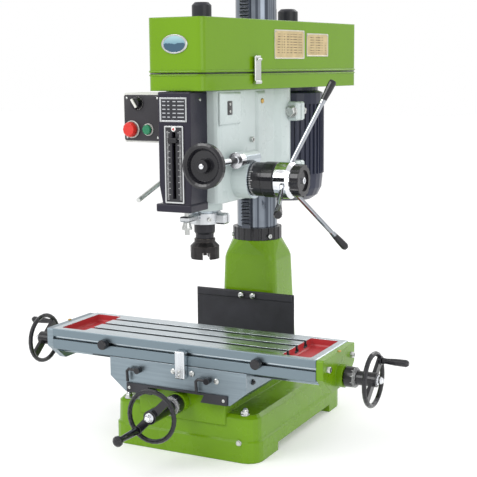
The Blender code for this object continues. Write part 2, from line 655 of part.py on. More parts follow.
def build_saddle():
    half = SADDLE_WIDTH / 2
    groove_top = WAY_Z + DOVETAIL_HEIGHT + SLIDE_FIT
    wide = CROSS_DOVETAIL_WIDTH / 2 + SLIDE_FIT + (SLIDE_FIT - FIT) * DOVETAIL_LEAN
    narrow = wide - (groove_top - SADDLE_BOTTOM) * DOVETAIL_LEAN
    section = [(half, SADDLE_TOP), (-half, SADDLE_TOP), (-half, SADDLE_BOTTOM + 0.024),
               (-half + 0.030, SADDLE_BOTTOM), (-narrow, SADDLE_BOTTOM), (-wide, groove_top),
               (wide, groove_top), (narrow, SADDLE_BOTTOM), (half - 0.030, SADDLE_BOTTOM),
               (half, SADDLE_BOTTOM + 0.024)]
    body = outline([section], SADDLE_FRONT, SADDLE_BACK, "Y")
    floor = SADDLE_TOP - DOVETAIL_HEIGHT - SLIDE_FIT
    top_wide = TABLE_DOVETAIL_WIDTH / 2 + SLIDE_FIT
    top_narrow = top_wide - (SADDLE_TOP - floor) * DOVETAIL_LEAN
    groove = [(TABLE_CENTRE_Y - top_wide, floor), (TABLE_CENTRE_Y + top_wide, floor),
              (TABLE_CENTRE_Y + top_narrow - 0.002 * DOVETAIL_LEAN, SADDLE_TOP + 0.002),
              (TABLE_CENTRE_Y - top_narrow + 0.002 * DOVETAIL_LEAN, SADDLE_TOP + 0.002)]
    table_groove = outline([groove], -half - 0.01, half + 0.01, "X")
    screw_floor = TABLE_SCREW_Z - SCREW_RADIUS - 0.002
    screw_way = block((-half - 0.01, TABLE_CENTRE_Y - 0.0085, screw_floor),
                      (half + 0.01, TABLE_CENTRE_Y + 0.0085, 0.2))
    part("saddle", body, "saddle_slide", "ground_steel", cut=[table_groove, screw_way])
    wiper_half = half - 0.034
    lip = [(wiper_half, SADDLE_BOTTOM + 0.016), (-wiper_half, SADDLE_BOTTOM + 0.016),
           (-wiper_half, SADDLE_BOTTOM),
           (-narrow - 0.001, SADDLE_BOTTOM), (-wide - 0.001, groove_top + 0.0008),
           (wide + 0.001, groove_top + 0.0008), (narrow + 0.001, SADDLE_BOTTOM), (wiper_half,
                   SADDLE_BOTTOM)]
    part("saddle_wiper", outline([lip], SADDLE_FRONT - FIT - 0.003, SADDLE_FRONT - FIT, "Y"),
         "saddle_slide", "black_rubber")
    nut_y = TABLE_CENTRE_Y + 0.035
    cross_nut = block((-0.0115, nut_y - 0.015, CROSS_SCREW_Z - 0.0105),
                      (0.0115, nut_y + 0.015, groove_top - FIT))
    part("cross_nut", cross_nut, "saddle_slide", "brass",
         cut=[rod(SCREW_RADIUS + FIT, nut_y - 0.03, nut_y + 0.03, "Y", (0, CROSS_SCREW_Z), SMALL)])
    table_nut = block((-0.018, TABLE_CENTRE_Y - 0.0080, screw_floor + FIT),
                      (0.018, TABLE_CENTRE_Y + 0.0080, TABLE_SCREW_Z + SCREW_RADIUS + 0.0018))
    part("table_nut", table_nut, "saddle_slide", "brass",
         cut=[rod(SCREW_RADIUS + FIT, -0.03, 0.03, "X", (TABLE_CENTRE_Y, TABLE_SCREW_Z), SMALL)])
    stop_front = SADDLE_FRONT - FIT
    stop = block((0.004, stop_front - 0.012, SADDLE_TOP - 0.020), (0.022, stop_front, TABLE_TOP - 0.010),
                 0.0015, 1)
    part("table_stop_block", stop, "saddle_slide", "black_iron")
    for name, x, z in (("lock_lever_left", -0.071, 0.141), ("lock_lever_right", 0.062, 0.139)):
        body_name = name + "_turn"
        BODIES[body_name] = ("saddle_slide", (x, SADDLE_FRONT, z))
        make_body(body_name)
        stud = rod(0.0055, SADDLE_FRONT - 0.011, SADDLE_FRONT - FIT, "Y", (x, z), SMALL)
        tip = (x - 0.021, z + 0.001)
        arm = bar([(x, SADDLE_FRONT - 0.007, z), (tip[0] + 0.004, SADDLE_FRONT - 0.007, tip[1]),
                   (tip[0], SADDLE_FRONT - 0.007, tip[1] - 0.004), (tip[0] + 0.001, SADDLE_FRONT - 0.007,
                           tip[1] - 0.022)],
                  0.0026)
        part(name, stud, body_name, "black_iron", [arm])


# ================================================================ table
def build_table():
    end, front, back = TABLE_END, TABLE_CENTRE_Y - TABLE_WIDTH / 2, TABLE_CENTRE_Y + TABLE_WIDTH / 2
    body = block((-end, front, TABLE_BOTTOM), (end, back, TABLE_TOP), 0.0012, 1)
    wide = TABLE_DOVETAIL_WIDTH / 2
    narrow = wide - DOVETAIL_HEIGHT * DOVETAIL_LEAN
    tail = [(TABLE_CENTRE_Y - wide, SADDLE_TOP - DOVETAIL_HEIGHT),
            (TABLE_CENTRE_Y + wide, SADDLE_TOP - DOVETAIL_HEIGHT),
            (TABLE_CENTRE_Y + narrow, SADDLE_TOP), (TABLE_CENTRE_Y + narrow, TABLE_BOTTOM + 0.004),
            (TABLE_CENTRE_Y - narrow, TABLE_BOTTOM + 0.004), (TABLE_CENTRE_Y - narrow, SADDLE_TOP)]
    keel = outline([tail], -end, end, "X")
    cuts = []
    for i in range(T_SLOTS):
        y = TABLE_CENTRE_Y + (i - (T_SLOTS - 1) / 2) * T_SLOT_PITCH
        cuts.append(tee_slot(y, TABLE_TOP, T_SLOT_WIDTH, WELL_START + 0.010))
    for side in (-1, 1):
        low, high = sorted((side * WELL_START, side * WELL_END))
        cuts.append(block((low, front + 0.011, TABLE_TOP - WELL_DEPTH),
                          (high, back - 0.011, TABLE_TOP + 0.01), 0.004, 2))
    groove_z = TABLE_TOP - 0.0165
    groove = [(front - 0.01, groove_z - 0.003), (front + 0.0035, groove_z - 0.003),
              (front + 0.0035, groove_z - 0.0055),
              (front + 0.0075, groove_z - 0.0055), (front + 0.0075, groove_z + 0.0055),
              (front + 0.0035, groove_z + 0.0055), (front + 0.0035, groove_z + 0.003), (front - 0.01,
                      groove_z + 0.003)]
    cuts.append(outline([groove], -end - 0.01, end + 0.01, "X"))
    screw_way = block((-end - 0.01, TABLE_CENTRE_Y - 0.0088, 0.12),
                      (end + 0.01, TABLE_CENTRE_Y + 0.0088, TABLE_SCREW_Z + SCREW_RADIUS + 0.0022))
    cuts.append(screw_way)
    part("table", body, "table_slide", "ground_steel", [keel], cuts)
    for name, side in (("end_bracket_left", -1), ("end_bracket_right", 1)):
        build_bracket(name, side)
    for name, x in (("table_stop_left", -0.140), ("table_stop_right", 0.150)):
        body_name = name + "_slide"
        BODIES[body_name] = ("table_slide", (x, front, groove_z))
        make_body(body_name)
        knob = turned([(0, front - 0.0005 + 0.0065), (0.0045, front + 0.006), (0.0045, front + 0.0042),
                       (0.0024, front + 0.0042), (0.0024, front - 0.0006), (0.0088, front - 0.0006),
                       (0.0088, front - 0.010), (0.0074, front - 0.012), (0, front - 0.012)], "Y", (x,
                               groove_z), SMALL)
        part(name, knob, body_name, "black_plastic")


def tee_slot(y, top, width, reach):
    half, head, depth = width / 2, width * 0.8, width * 0.7
    section = [(y - half, top + 0.01), (y - half, top - depth), (y - head, top - depth),
               (y - head, top - depth - width * 0.5),
               (y + head, top - depth - width * 0.5), (y + head, top - depth), (y + half,
                       top - depth), (y + half, top + 0.01)]
    return outline([section], -reach, reach, "X")


def build_bracket(name, side):
    place = (TABLE_CENTRE_Y, TABLE_SCREW_Z)
    start = side * (TABLE_END + FIT)
    end = start + side * BRACKET_THICKNESS
    low, high = sorted((start, end))
    half = TABLE_WIDTH / 2 - 0.002
    shape = rounded([(TABLE_CENTRE_Y + half, TABLE_TOP - 0.001), (TABLE_CENTRE_Y - half, TABLE_TOP - 0.001),
                     (TABLE_CENTRE_Y - half, TABLE_BOTTOM + 0.004), (TABLE_CENTRE_Y - 0.032,
                             TABLE_SCREW_Z - 0.021),
                     (TABLE_CENTRE_Y + 0.032, TABLE_SCREW_Z - 0.021), (TABLE_CENTRE_Y + half,
                             TABLE_BOTTOM + 0.004)], 0.003, 2)
    plate = outline([shape], low, high, "X")
    boss_low, boss_high = sorted((start + side * 0.002, end + side * 0.011))
    boss = rod(0.0185, boss_low, boss_high, "X", place)
    bore = rod(SCREW_RADIUS + FIT, boss_low - 0.01, boss_high + 0.01, "X", place, SMALL)
    part(name, plate, "table_slide", "green_paint", [boss], [bore])


def build_table_feed():
    place = (TABLE_CENTRE_Y, TABLE_SCREW_Z)
    shoulder = TABLE_END + FIT + BRACKET_THICKNESS + 0.011
    end = TABLE_WHEEL_X + 0.003
    profile = [(0, end), (SCREW_END_RADIUS, end), (SCREW_END_RADIUS, shoulder), (SCREW_RADIUS, shoulder)]
    part("table_feed_screw", turned(profile + [(r, -x) for r, x in reversed(profile)], "X", place, SMALL),
         "table_screw", "ground_steel")
    dial_end = shoulder + FIT + 0.020
    for word, side, angle in (("left", -1, math.radians(40)), ("right", 1, math.radians(40))):
        part("table_dial_" + word, dial(side * dial_end, side * (shoulder + FIT), "X", place),
             "table_screw", "black_iron")
        wheel, grip_at = handwheel("X", place, side * TABLE_WHEEL_X, side * (dial_end + FIT), angle, side)
        part("table_handwheel_" + word, wheel, "table_screw", "black_iron")
        body_name = "table_grip_%s_turn" % word
        BODIES[body_name] = ("table_screw", on_axis("X", grip_at, side * TABLE_WHEEL_X))
        make_body(body_name)
        grip = handle("X", grip_at, side * (TABLE_WHEEL_X + WHEEL_RIM + 0.0006), TABLE_GRIP_LENGTH, side)
        part("table_grip_" + word, grip, body_name, "black_plastic")


# ================================================================ head
def head_outline():
    """Straight cheeks that run into a round clamp about the column."""
    r, half = COLUMN_CLAMP_RADIUS, HALF_HEAD
    start = math.asin(-math.sqrt(r * r - half * half) / r)
    sweep = math.pi - 2 * start
    arc = [(r * math.cos(start + sweep * i / 16), r * math.sin(start + sweep * i / 16)) for i in range(17)]
    corners = rounded([(-half, HEAD_FRONT + 0.05), (-half, HEAD_FRONT), (half, HEAD_FRONT),
                       (half, HEAD_FRONT + 0.05)],
                      0.010, 3)
    return arc + corners[4:12]


def build_head():
    body = soften(outline([head_outline()], HEAD_BOTTOM, HEAD_TOP, "Z"), 0.003, 1, 60)
    boss = rod(FEED_BOSS_RADIUS, HALF_HEAD - 0.01, FEED_BOSS_END, "X", (FEED_Y, FEED_Z), LARGE)
    spring_boss = rod(0.026, -HALF_HEAD - 0.013, -HALF_HEAD + 0.01, "X", (FEED_Y, FEED_Z))
    worm_z = FEED_Z + FINE_FEED_RISE
    worm_boss = rod(0.0135, SPINDLE_Y - 0.003, FEED_Y + 0.022, "Y", (FINE_FEED_X, worm_z), SMALL)
    worm_web = block((HALF_HEAD - 0.01, SPINDLE_Y + 0.004, worm_z - 0.020),
                     (FINE_FEED_X, FEED_Y + 0.018, worm_z + 0.010))
    lift_boss = rod(0.016, -HALF_HEAD - 0.016, -HALF_HEAD + 0.01, "X", (LIFT_Y, LIFT_Z))
    nose = rod(QUILL_RADIUS + 0.0085, HEAD_BOTTOM - 0.016, HEAD_BOTTOM + 0.002, "Z", (0, SPINDLE_Y), LARGE)
    lugs = [block((0.048, 0.004, z), (0.080, 0.040, z + 0.034), 0.003, 1) for z in (HEAD_BOTTOM + 0.018,
            HEAD_TOP - 0.060)]
    column_bore = rod(COLUMN_RADIUS + FIT, HEAD_BOTTOM - 0.01, HEAD_TOP + 0.01, "Z", (0, 0), LARGE)
    rack_way = block((-RACK_WIDTH / 2 - FIT, RACK_TIP - 0.0005, HEAD_BOTTOM - 0.01),
                     (RACK_WIDTH / 2 + FIT, -0.02, HEAD_TOP + 0.01))
    quill_bore = rod(QUILL_RADIUS + FIT, HEAD_BOTTOM - 0.03, HEAD_TOP + 0.01, "Z", (0, SPINDLE_Y), LARGE)
    shaft_bore = rod(FEED_SHAFT_DIAMETER / 2 + FIT, -HALF_HEAD - 0.004, 0.1, "X", (FEED_Y, FEED_Z), SMALL)
    feed_gear = rod(PITCH_RADIUS + GEAR_MODULE + 0.0006, -0.0105, 0.0105, "X", (FEED_Y, FEED_Z))
    lift_gear = rod(PITCH_RADIUS + GEAR_MODULE + 0.0006, -0.0105, 0.0105, "X", (LIFT_Y, LIFT_Z))
    lift_bore = rod(SCREW_RADIUS + FIT, -0.1, 0.02, "X", (LIFT_Y, LIFT_Z), SMALL)
    worm_bore = rod(SCREW_RADIUS + FIT, SPINDLE_Y - 0.02, FEED_Y - 0.004, "Y", (FINE_FEED_X, worm_z), SMALL)
    split = block((COLUMN_RADIUS - 0.01, 0.0205, HEAD_BOTTOM - 0.01), (0.09, 0.0235, HEAD_TOP + 0.01))
    part("head_casting", body, "head", "grey_paint", [boss, spring_boss, worm_boss, worm_web, lift_boss,
                                                      nose, *lugs],
         [column_bore, rack_way, quill_bore, shaft_bore, feed_gear, lift_gear, lift_bore, worm_bore, split])


def build_front_panel():
    half, back = PANEL_WIDTH / 2, HEAD_FRONT - FIT
    bottom = PANEL_BOTTOM + 0.012
    corner = [(half, HEAD_TOP - 0.001), (-half, HEAD_TOP - 0.001), (-half, bottom + 0.030),
              (-half + 0.006, bottom),
              (half - 0.002, bottom), (half, bottom + 0.030)]
    shell = outline([corner], PANEL_FRONT, back, "Y")
    lip = block((-half - 0.005, PANEL_FRONT - 0.003, PANEL_BOTTOM), (half, back, bottom + 0.001), 0.0015, 1)
    hollow = block((-half + PANEL_WALL + 0.006, PANEL_FRONT + PANEL_WALL, bottom + 0.002),
                   (half - PANEL_WALL - 0.002, back + 0.01, HEAD_TOP - 0.001 - PANEL_WALL))
    slot = block((-0.003, PANEL_FRONT - 0.01, bottom + 0.010), (0.003, PANEL_FRONT + 0.01, bottom + 0.118))
    rod_hole = rod(0.0046, PANEL_BOTTOM - 0.01, bottom + 0.01, "Z", (0, DEPTH_ROD_Y), SMALL)
    part("front_panel", soften(shell, 0.0015, 1, 60), "head", "charcoal_paint", [lip],
         [hollow, slot, rod_hole])
    face = PANEL_FRONT - FIT
    scale = outline([rounded([(0.0175, bottom + 0.128), (-0.0175, bottom + 0.128),
                              (-0.0175, bottom + 0.003),
                              (0.0175, bottom + 0.003)], 0.001, 1),
                     [(0.0034, bottom + 0.118), (-0.0034, bottom + 0.118), (-0.0034, bottom + 0.010),
                      (0.0034, bottom + 0.010)]], face - 0.0018, face, "Y")
    part("depth_scale", scale, "head", "aluminium")


def build_controls():
    left, right, front, back, low, high = -0.130, -HALF_HEAD - FIT, -0.250, -0.192, 0.519, 0.602
    switch_at, stop_at, start_at = (-0.101, 0.585), (-0.112, 0.541), (-0.080, 0.541)
    pockets = [rod(0.0045, front - 0.01, front + 0.010, "Y", place, SMALL) for place in (switch_at, stop_at,
            start_at)]
    box = block((left, front, low), (right, back, high), 0.004, 2)
    part("control_box", box, "head", "grey_plastic", cut=pockets)
    for name, place, radius, height, finish in (("speed_switch", switch_at, 0.0105, 0.010, "black_plastic"),
                                                ("stop_button", stop_at, 0.0130, 0.009, "red_plastic"),
                                                ("start_button", start_at, 0.0085, 0.004, "green_plastic")):
        body_name = name + "_move"
        BODIES[body_name] = ("head", (place[0], front, place[1]))
        make_body(body_name)
        gap = 0.0045 if name != "speed_switch" else FIT
        profile = [(0, front + 0.0045), (0.0041, front + 0.0045), (0.0041, front - gap),
                   (radius, front - gap),
                   (radius, front - gap - height * 0.6), (radius * 0.8, front - gap - height), (0,
                           front - gap - height)]
        part(name, turned(profile, "Y", place, SMALL), body_name, finish)


def build_lift():
    BODIES["lift_lever_turn"] = ("head", (-HALF_HEAD, LIFT_Y, LIFT_Z))
    BODIES["lift_pinion_turn"] = ("head", (0, LIFT_Y, LIFT_Z))
    make_body("lift_lever_turn")
    make_body("lift_pinion_turn")
    # A rack tooth stands level with the pinion's axis, so the pinion has a gap there.
    gear = outline([pinion_outline((LIFT_Y, LIFT_Z), math.pi / PINION_TEETH)], -0.0095, 0.0095, "X")
    shaft = rod(SCREW_RADIUS, -HALF_HEAD - 0.014, -0.009, "X", (LIFT_Y, LIFT_Z), SMALL)
    stub = rod(SCREW_RADIUS, 0.009, 0.0195, "X", (LIFT_Y, LIFT_Z), SMALL)
    part("lift_pinion", gear, "lift_pinion_turn", "ground_steel", [shaft, stub])
    hub_low, hub_high = -HALF_HEAD - 0.034, -HALF_HEAD - 0.016 - FIT
    hub = turned([(0, hub_high), (0.0125, hub_high), (0.0125, hub_low + 0.002), (0.010, hub_low),
                  (0, hub_low)], "X",
                 (LIFT_Y, LIFT_Z))
    middle = (hub_low + hub_high) / 2
    lever = bar([(middle, LIFT_Y, LIFT_Z), (middle, LIFT_Y - 0.230, LIFT_Z - 0.071)], 0.004, 3)
    part("lift_lever", hub, "lift_lever_turn", "zinc", [lever])


# ================================================================ quill and spindle
def build_quill():
    place = (0, SPINDLE_Y)
    bore = SPINDLE_DIAMETER / 2 + FIT
    body = ring(QUILL_RADIUS, bore, QUILL_BOTTOM, QUILL_TOP, "Z", place, LARGE)
    pitch_y = FEED_Y - PITCH_RADIUS
    root_y = pitch_y - 1.25 * GEAR_MODULE
    start, end = FEED_Z - 0.020, QUILL_TOP + 0.010
    teeth = [(y, z) for z, y in rack_points(start, end, root_y, 1, FEED_Z)]
    outer = SPINDLE_Y + QUILL_RADIUS + 0.005
    section = [(outer, start), (root_y, start), *teeth, (root_y, end), (outer, end)]
    part("quill", body, "quill_slide", "ground_steel", cut=[outline([section], -0.010, 0.010, "X")])
    top, bottom = QUILL_BOTTOM + 0.0190, QUILL_BOTTOM + 0.0007
    collar = ring(QUILL_RADIUS + 0.0065, QUILL_RADIUS + FIT, bottom, top, "Z", place, LARGE)
    ear = block((-0.009, DEPTH_ROD_Y - 0.010, top - 0.009), (0.009, SPINDLE_Y - QUILL_RADIUS - 0.003, top),
                0.002, 1)
    lug = block((QUILL_RADIUS + 0.002, SPINDLE_Y - 0.010, bottom),
                (QUILL_RADIUS + 0.022, SPINDLE_Y + 0.010, top), 0.003, 1)
    split = block((QUILL_RADIUS - 0.002, SPINDLE_Y - 0.001, bottom - 0.01),
                  (QUILL_RADIUS + 0.03, SPINDLE_Y + 0.001, top + 0.01))
    hole = rod(0.0043, top - 0.02, top + 0.01, "Z", (0, DEPTH_ROD_Y), SMALL)
    part("depth_stop_collar", collar, "quill_slide", "aluminium", [ear, lug], [split, hole])
    rod_top, pointer_z = 0.560, 0.528
    stem = rod(0.004, QUILL_BOTTOM - 0.012, rod_top, "Z", (0, DEPTH_ROD_Y), SMALL)
    ear_bottom = top - 0.009
    nut = turned([(0.0055, ear_bottom - FIT), (0.0085, ear_bottom - 0.010), (0.0085, ear_bottom - 0.013),
                  (0.003, ear_bottom - 0.013), (0.003, ear_bottom - FIT)], "Z", (0,
                          DEPTH_ROD_Y), SMALL, True)
    arm = block((-0.002, PANEL_FRONT - 0.004, pointer_z - 0.002), (0.002, DEPTH_ROD_Y, pointer_z + 0.002))
    knob = block((-0.008, PANEL_FRONT - 0.009, pointer_z - 0.004),
                 (0.008, PANEL_FRONT - 0.003, pointer_z + 0.004), 0.001, 1)
    part("depth_rod", stem, "quill_slide", "zinc", [nut, arm, knob])


def build_spindle():
    place = (0, SPINDLE_Y)
    nose_top = QUILL_BOTTOM - FIT
    shaft, spline = SPINDLE_DIAMETER / 2, SPLINE_DIAMETER / 2
    part("spindle", turned([(0, GUARD_TOP - 0.007), (spline, GUARD_TOP - 0.007),
                            (spline, QUILL_TOP + 0.020), (shaft, QUILL_TOP + 0.018),
                            (shaft, nose_top), (0.018, nose_top), (0.018, nose_top - 0.014), (0.0155,
                                    nose_top - 0.018),
                            (0.0155, nose_top - 0.0252), (0, nose_top - 0.0252)], "Z", place, MEDIUM),
         "spindle_turn", "ground_steel")
    top, r = nose_top - 0.0252 - FIT, CUTTER_DIAMETER / 2
    body = turned([(0, top), (r * 0.72, top), (r * 0.72, top - 0.006), (r, top - 0.013), (r, top - 0.0345),
                   (r * 0.45, top - 0.0345),
                   (r * 0.45, top - 0.030), (0, top - 0.030)], "Z", place, MEDIUM)
    pockets = []
    for i in range(4):
        pocket = block((0.004, -0.012, -0.018), (0.030, 0.0, 0.006))
        angle = math.tau * i / 4 + 0.6
        pocket.location = (0.016 * math.cos(angle), SPINDLE_Y + 0.016 * math.sin(angle), top - 0.0345)
        pocket.rotation_euler = (0, 0, angle)
        pockets.append(pocket)
    part("face_mill", body, "spindle_turn", "black_iron", cut=pockets)


# ================================================================ feed
def build_feed():
    place = (FEED_Y, FEED_Z)
    shaft, end = FEED_SHAFT_DIAMETER / 2, FEED_BOSS_END + 0.066
    gear = outline([pinion_outline(place, math.pi / PINION_TEETH + math.pi)], -0.0095, 0.0095, "X")
    ends = [rod(shaft, -HALF_HEAD - 0.003, -0.009, "X", place, SMALL),
            rod(shaft, 0.009, end, "X", place, SMALL)]
    part("pinion_shaft", gear, "feed_turn", "ground_steel", ends)
    x0 = FEED_BOSS_END + FIT
    bore = shaft + FIT
    dial_radius = 0.0287
    part("feed_dial", turned([(dial_radius - 0.001, x0 + 0.0224), (dial_radius, x0 + 0.0214),
                              (dial_radius, x0 + 0.001),
                              (dial_radius - 0.001, x0), (bore, x0), (bore,
                                      x0 + 0.0224)], "X", place, LARGE, True),
         "feed_turn", "black_iron")
    x1, x3 = x0 + 0.0224 + FIT, FEED_BOSS_END + 0.074
    x2 = x1 + 0.0210
    hub = turned([(0, x3), (HUB_RADIUS - 0.006, x3), (HUB_RADIUS, x3 - 0.006), (HUB_RADIUS, x2 + 0.003),
                  (HUB_RADIUS - 0.003, x2),
                  (HUB_RADIUS - 0.001, x2 - 0.001), (HUB_RADIUS - 0.001, x1), (0, x1)], "X", place, LARGE)
    sockets, spokes = [], []
    root_x = x3 - 0.016
    for angle in map(math.radians, SPOKE_ANGLES):
        across = Vector((0, math.cos(angle), math.sin(angle)))
        start = Vector((root_x, FEED_Y, FEED_Z)) + across * (HUB_RADIUS - 0.014)
        tip = Vector((SPOKE_TIP_X, FEED_Y, FEED_Z)) + across * SPOKE_TIP_RADIUS
        length = (tip - start).length
        r = SPOKE_DIAMETER / 2
        spokes.append(stretch_between([(0, length), (0.0052, length - 0.001), (0.0068, length - 0.005),
                                       (0.0064, length - 0.020),
                                       (0.0046, length - 0.044), (r, length - 0.046), (r, 0), (0,
                                               0)], start, tip))
        sockets.append(stretch_between([(0, 0.05), (r + FIT, 0.05), (r + FIT, -FIT), (0, -FIT)], start,
                                       tip))
    part("feed_hub", hub, "feed_turn", "chrome", cut=[*sockets,
                                                      rod(bore, x1 - 0.01, end + FIT, "X", place, SMALL)])
    for number, spoke in enumerate(spokes, 1):
        part("feed_lever_%d" % number, spoke, "feed_turn", "chrome")
    BODIES["feed_knob_turn"] = ("feed_turn", (x3, FEED_Y, FEED_Z))
    make_body("feed_knob_turn")
    x4 = x3 + FIT
    rim = 0.0273
    lobes = [(FEED_Y + r * math.cos(a), FEED_Z + r * math.sin(a)) for r, a in scallops(rim, 0.0014, 12)]
    knob = soften(outline([lobes], x4, x4 + 0.0157, "X"), 0.0015, 1, 70)
    dish = rod(rim * 0.66, x4 + 0.0127, x4 + 0.03, "X", place)
    part("feed_lock_knob", knob, "feed_knob_turn", "black_plastic", cut=[dish])


def build_fine_feed():
    worm_z = FEED_Z + FINE_FEED_RISE
    BODIES["fine_feed_turn"] = ("head", (FINE_FEED_X, PANEL_FRONT, worm_z))
    make_body("fine_feed_turn")
    place = (FINE_FEED_X, worm_z)
    back, front, r = -0.320, -0.338, FINE_WHEEL_RADIUS
    wheel = turned([(0, back + 0.010), (0.012, back + 0.010), (0.013, back), (r * 0.55, back),
                    (r * 0.9, back - 0.003),
                    (r, back - 0.008), (r, front + 0.002), (r - 0.004, front), (r - 0.008, front + 0.002),
                    (r - 0.012, front + 0.008), (0.012, front + 0.009), (0.010, front - 0.001), (0,
                            front - 0.001)],
                   "Y", place, LARGE)
    shaft = rod(SCREW_RADIUS, back, FEED_Y - 0.005, "Y", place, SMALL)
    collar = rod(0.0135, SPINDLE_Y - 0.003 - FIT - 0.016, SPINDLE_Y - 0.003 - FIT, "Y", place)
    part("fine_feed_wheel", wheel, "fine_feed_turn", "black_plastic", [shaft, collar])


# ================================================================ motor, belt and guard
def build_motor():
    place = (0, MOTOR_OFFSET)
    top, r = HEAD_TOP - FIT, MOTOR_RADIUS
    body = turned([(0, top), (r * 0.86, top), (r * 0.86, top - 0.008), (r, top - 0.012),
                   (r, MOTOR_BOTTOM + 0.045),
                   (r * 0.97, MOTOR_BOTTOM + 0.024), (r * 0.86, MOTOR_BOTTOM + 0.009), (r * 0.66,
                           MOTOR_BOTTOM),
                   (0, MOTOR_BOTTOM)], "Z", place, LARGE)
    bore = rod(SPLINE_DIAMETER / 2 + 2 * FIT, top - 0.012, top + 0.01, "Z", place)
    part("motor", body, "head", "charcoal_paint", cut=[bore])


def cone_pulley(steps, place, bore):
    """A stepped vee pulley, its first step lowest; a bore of None leaves it solid with a shaft below."""
    bottom = PULLEY_BOTTOM
    profile = []
    for i, radius in enumerate(steps):
        z = bottom + i * STEP_HEIGHT
        profile += [(radius + 0.002, z), (radius + 0.002, z + 0.0025), (radius - 0.006, z + 0.006),
                    (radius - 0.006, z + 0.010), (radius + 0.002, z + 0.0135), (radius + 0.002,
                            z + STEP_HEIGHT - 0.0004)]
    top = bottom + len(steps) * STEP_HEIGHT - 0.0004
    if bore:
        return turned([(bore, top), *reversed(profile), (bore, bottom)], "Z", place, 20, True)
    shaft = SPLINE_DIAMETER / 2
    return turned([(0, top), *reversed(profile), (shaft, bottom), (shaft, HEAD_TOP - 0.010),
                   (0, HEAD_TOP - 0.010)],
                  "Z", place, 20)


def build_drive():
    for name, y in (("spindle_pulley_turn", SPINDLE_Y), ("motor_pulley_turn", MOTOR_OFFSET)):
        BODIES[name] = ("head", (0, y, PULLEY_BOTTOM))
        make_body(name)
    part("spindle_pulley", cone_pulley(SPINDLE_STEPS, (0, SPINDLE_Y), SPLINE_DIAMETER / 2 + FIT),
         "spindle_pulley_turn", "aluminium")
    part("motor_pulley", cone_pulley(MOTOR_STEPS, (0, MOTOR_OFFSET), None), "motor_pulley_turn",
         "aluminium")
    middle = PULLEY_BOTTOM + BELT_STEP * STEP_HEIGHT + 0.008
    inner = belt_loop(-0.006 + FIT + 0.0012)
    outer = belt_loop(-0.006 + FIT + 0.0012 + BELT_THICKNESS)
    part("drive_belt", outline([outer, inner], middle - 0.0019, middle + 0.0019, "Z"), "head",
         "black_rubber")


def belt_loop(offset, steps=10):
    """The belt's path round both pulleys, offset outwards from their belt lines."""
    front, back = SPINDLE_STEPS[BELT_STEP] + offset, MOTOR_STEPS[BELT_STEP] + offset
    lean = math.asin((back - front) / (THROAT + MOTOR_OFFSET))
    path = []
    for i in range(steps + 1):
        a = -lean + (math.pi + 2 * lean) * i / steps
        path.append((back * math.cos(a), MOTOR_OFFSET + back * math.sin(a)))
    for i in range(steps + 1):
        a = math.pi + lean + (math.pi - 2 * lean) * i / steps
        path.append((front * math.cos(a), SPINDLE_Y + front * math.sin(a)))
    return path


def guard_corners(inset):
    """The guard's plan, a trapezoid wider at the back, moved inwards by inset."""
    front, back = SPINDLE_Y - 0.091 + inset, MOTOR_OFFSET + MOTOR_RADIUS + 0.007 - inset
    flare = (0.122 - 0.050) / 0.49
    lean = inset * math.hypot(1, flare)
    across = [0.050 - lean + flare * (inset), 0.122 - lean - flare * 0.021]
    shoulder = back - 0.022
    tail = across[1] - 0.026 + inset * 0.2
    return [(tail, back), (-tail, back), (-across[1], shoulder), (-across[0], front), (across[0], front),
            (across[1], shoulder)]


def guard_outline(inset):
    return rounded(guard_corners(inset), 0.010, 3)


def column_hole():
    """Room for the column and its rack, as a hole in a flat outline."""
    r, half = COLUMN_RADIUS + 0.003, RACK_WIDTH / 2 + 0.0015
    start = -math.acos(half / r)
    sweep = math.tau - (math.pi - 2 * math.acos(half / r))
    arc = [(r * math.cos(start + sweep * i / 20), r * math.sin(start + sweep * i / 20)) for i in range(21)]
    return [*arc, (-half, RACK_TIP - 0.0025), (half, RACK_TIP - 0.0025)]


def build_guards():
    floor_top = HEAD_TOP + FIT + GUARD_WALL
    floor = outline([guard_outline(0), column_hole()], HEAD_TOP + FIT, floor_top, "Z")
    wall = outline([guard_outline(0), guard_outline(GUARD_WALL)], floor_top - 0.001, GUARD_SEAM, "Z")
    holes = [rod(SPLINE_DIAMETER / 2 + 0.001, HEAD_TOP - 0.01, HEAD_TOP + 0.02, "Z", (0, y), SMALL)
             for y in (SPINDLE_Y, MOTOR_OFFSET)]
    part("belt_guard_tray", floor, "head", "green_paint", [wall], holes)
    BODIES["lid_lift"] = ("head", (0, 0, GUARD_SEAM))
    make_body("lid_lift")
    top = outline([guard_outline(0), circle(CAP_RADIUS + 0.003, 28)], GUARD_TOP - GUARD_WALL, GUARD_TOP,
                  "Z")
    skirt = outline([guard_outline(0), guard_outline(GUARD_WALL)], GUARD_SEAM + FIT,
                    GUARD_TOP - GUARD_WALL + 0.001, "Z")
    caps = []
    for y, r, height in ((SPINDLE_Y, 0.0165, 0.027), (MOTOR_OFFSET, 0.0195, 0.030)):
        z = GUARD_TOP
        caps.append(turned([(0, z + height), (r * 0.7, z + height), (r, z + height - 0.005), (r, z + 0.003),
                            (r * 1.1, z + 0.002), (r * 1.1, z - 0.001), (0, z - 0.001)], "Z", (0,
                                    y), MEDIUM))
    part("belt_guard_lid", soften(top, 0.0012, 1, 60), "lid_lift", "green_paint", [skirt, *caps])
    for name, side in (("latch_left", -1), ("latch_right", 1)):
        build_latch(name, side)


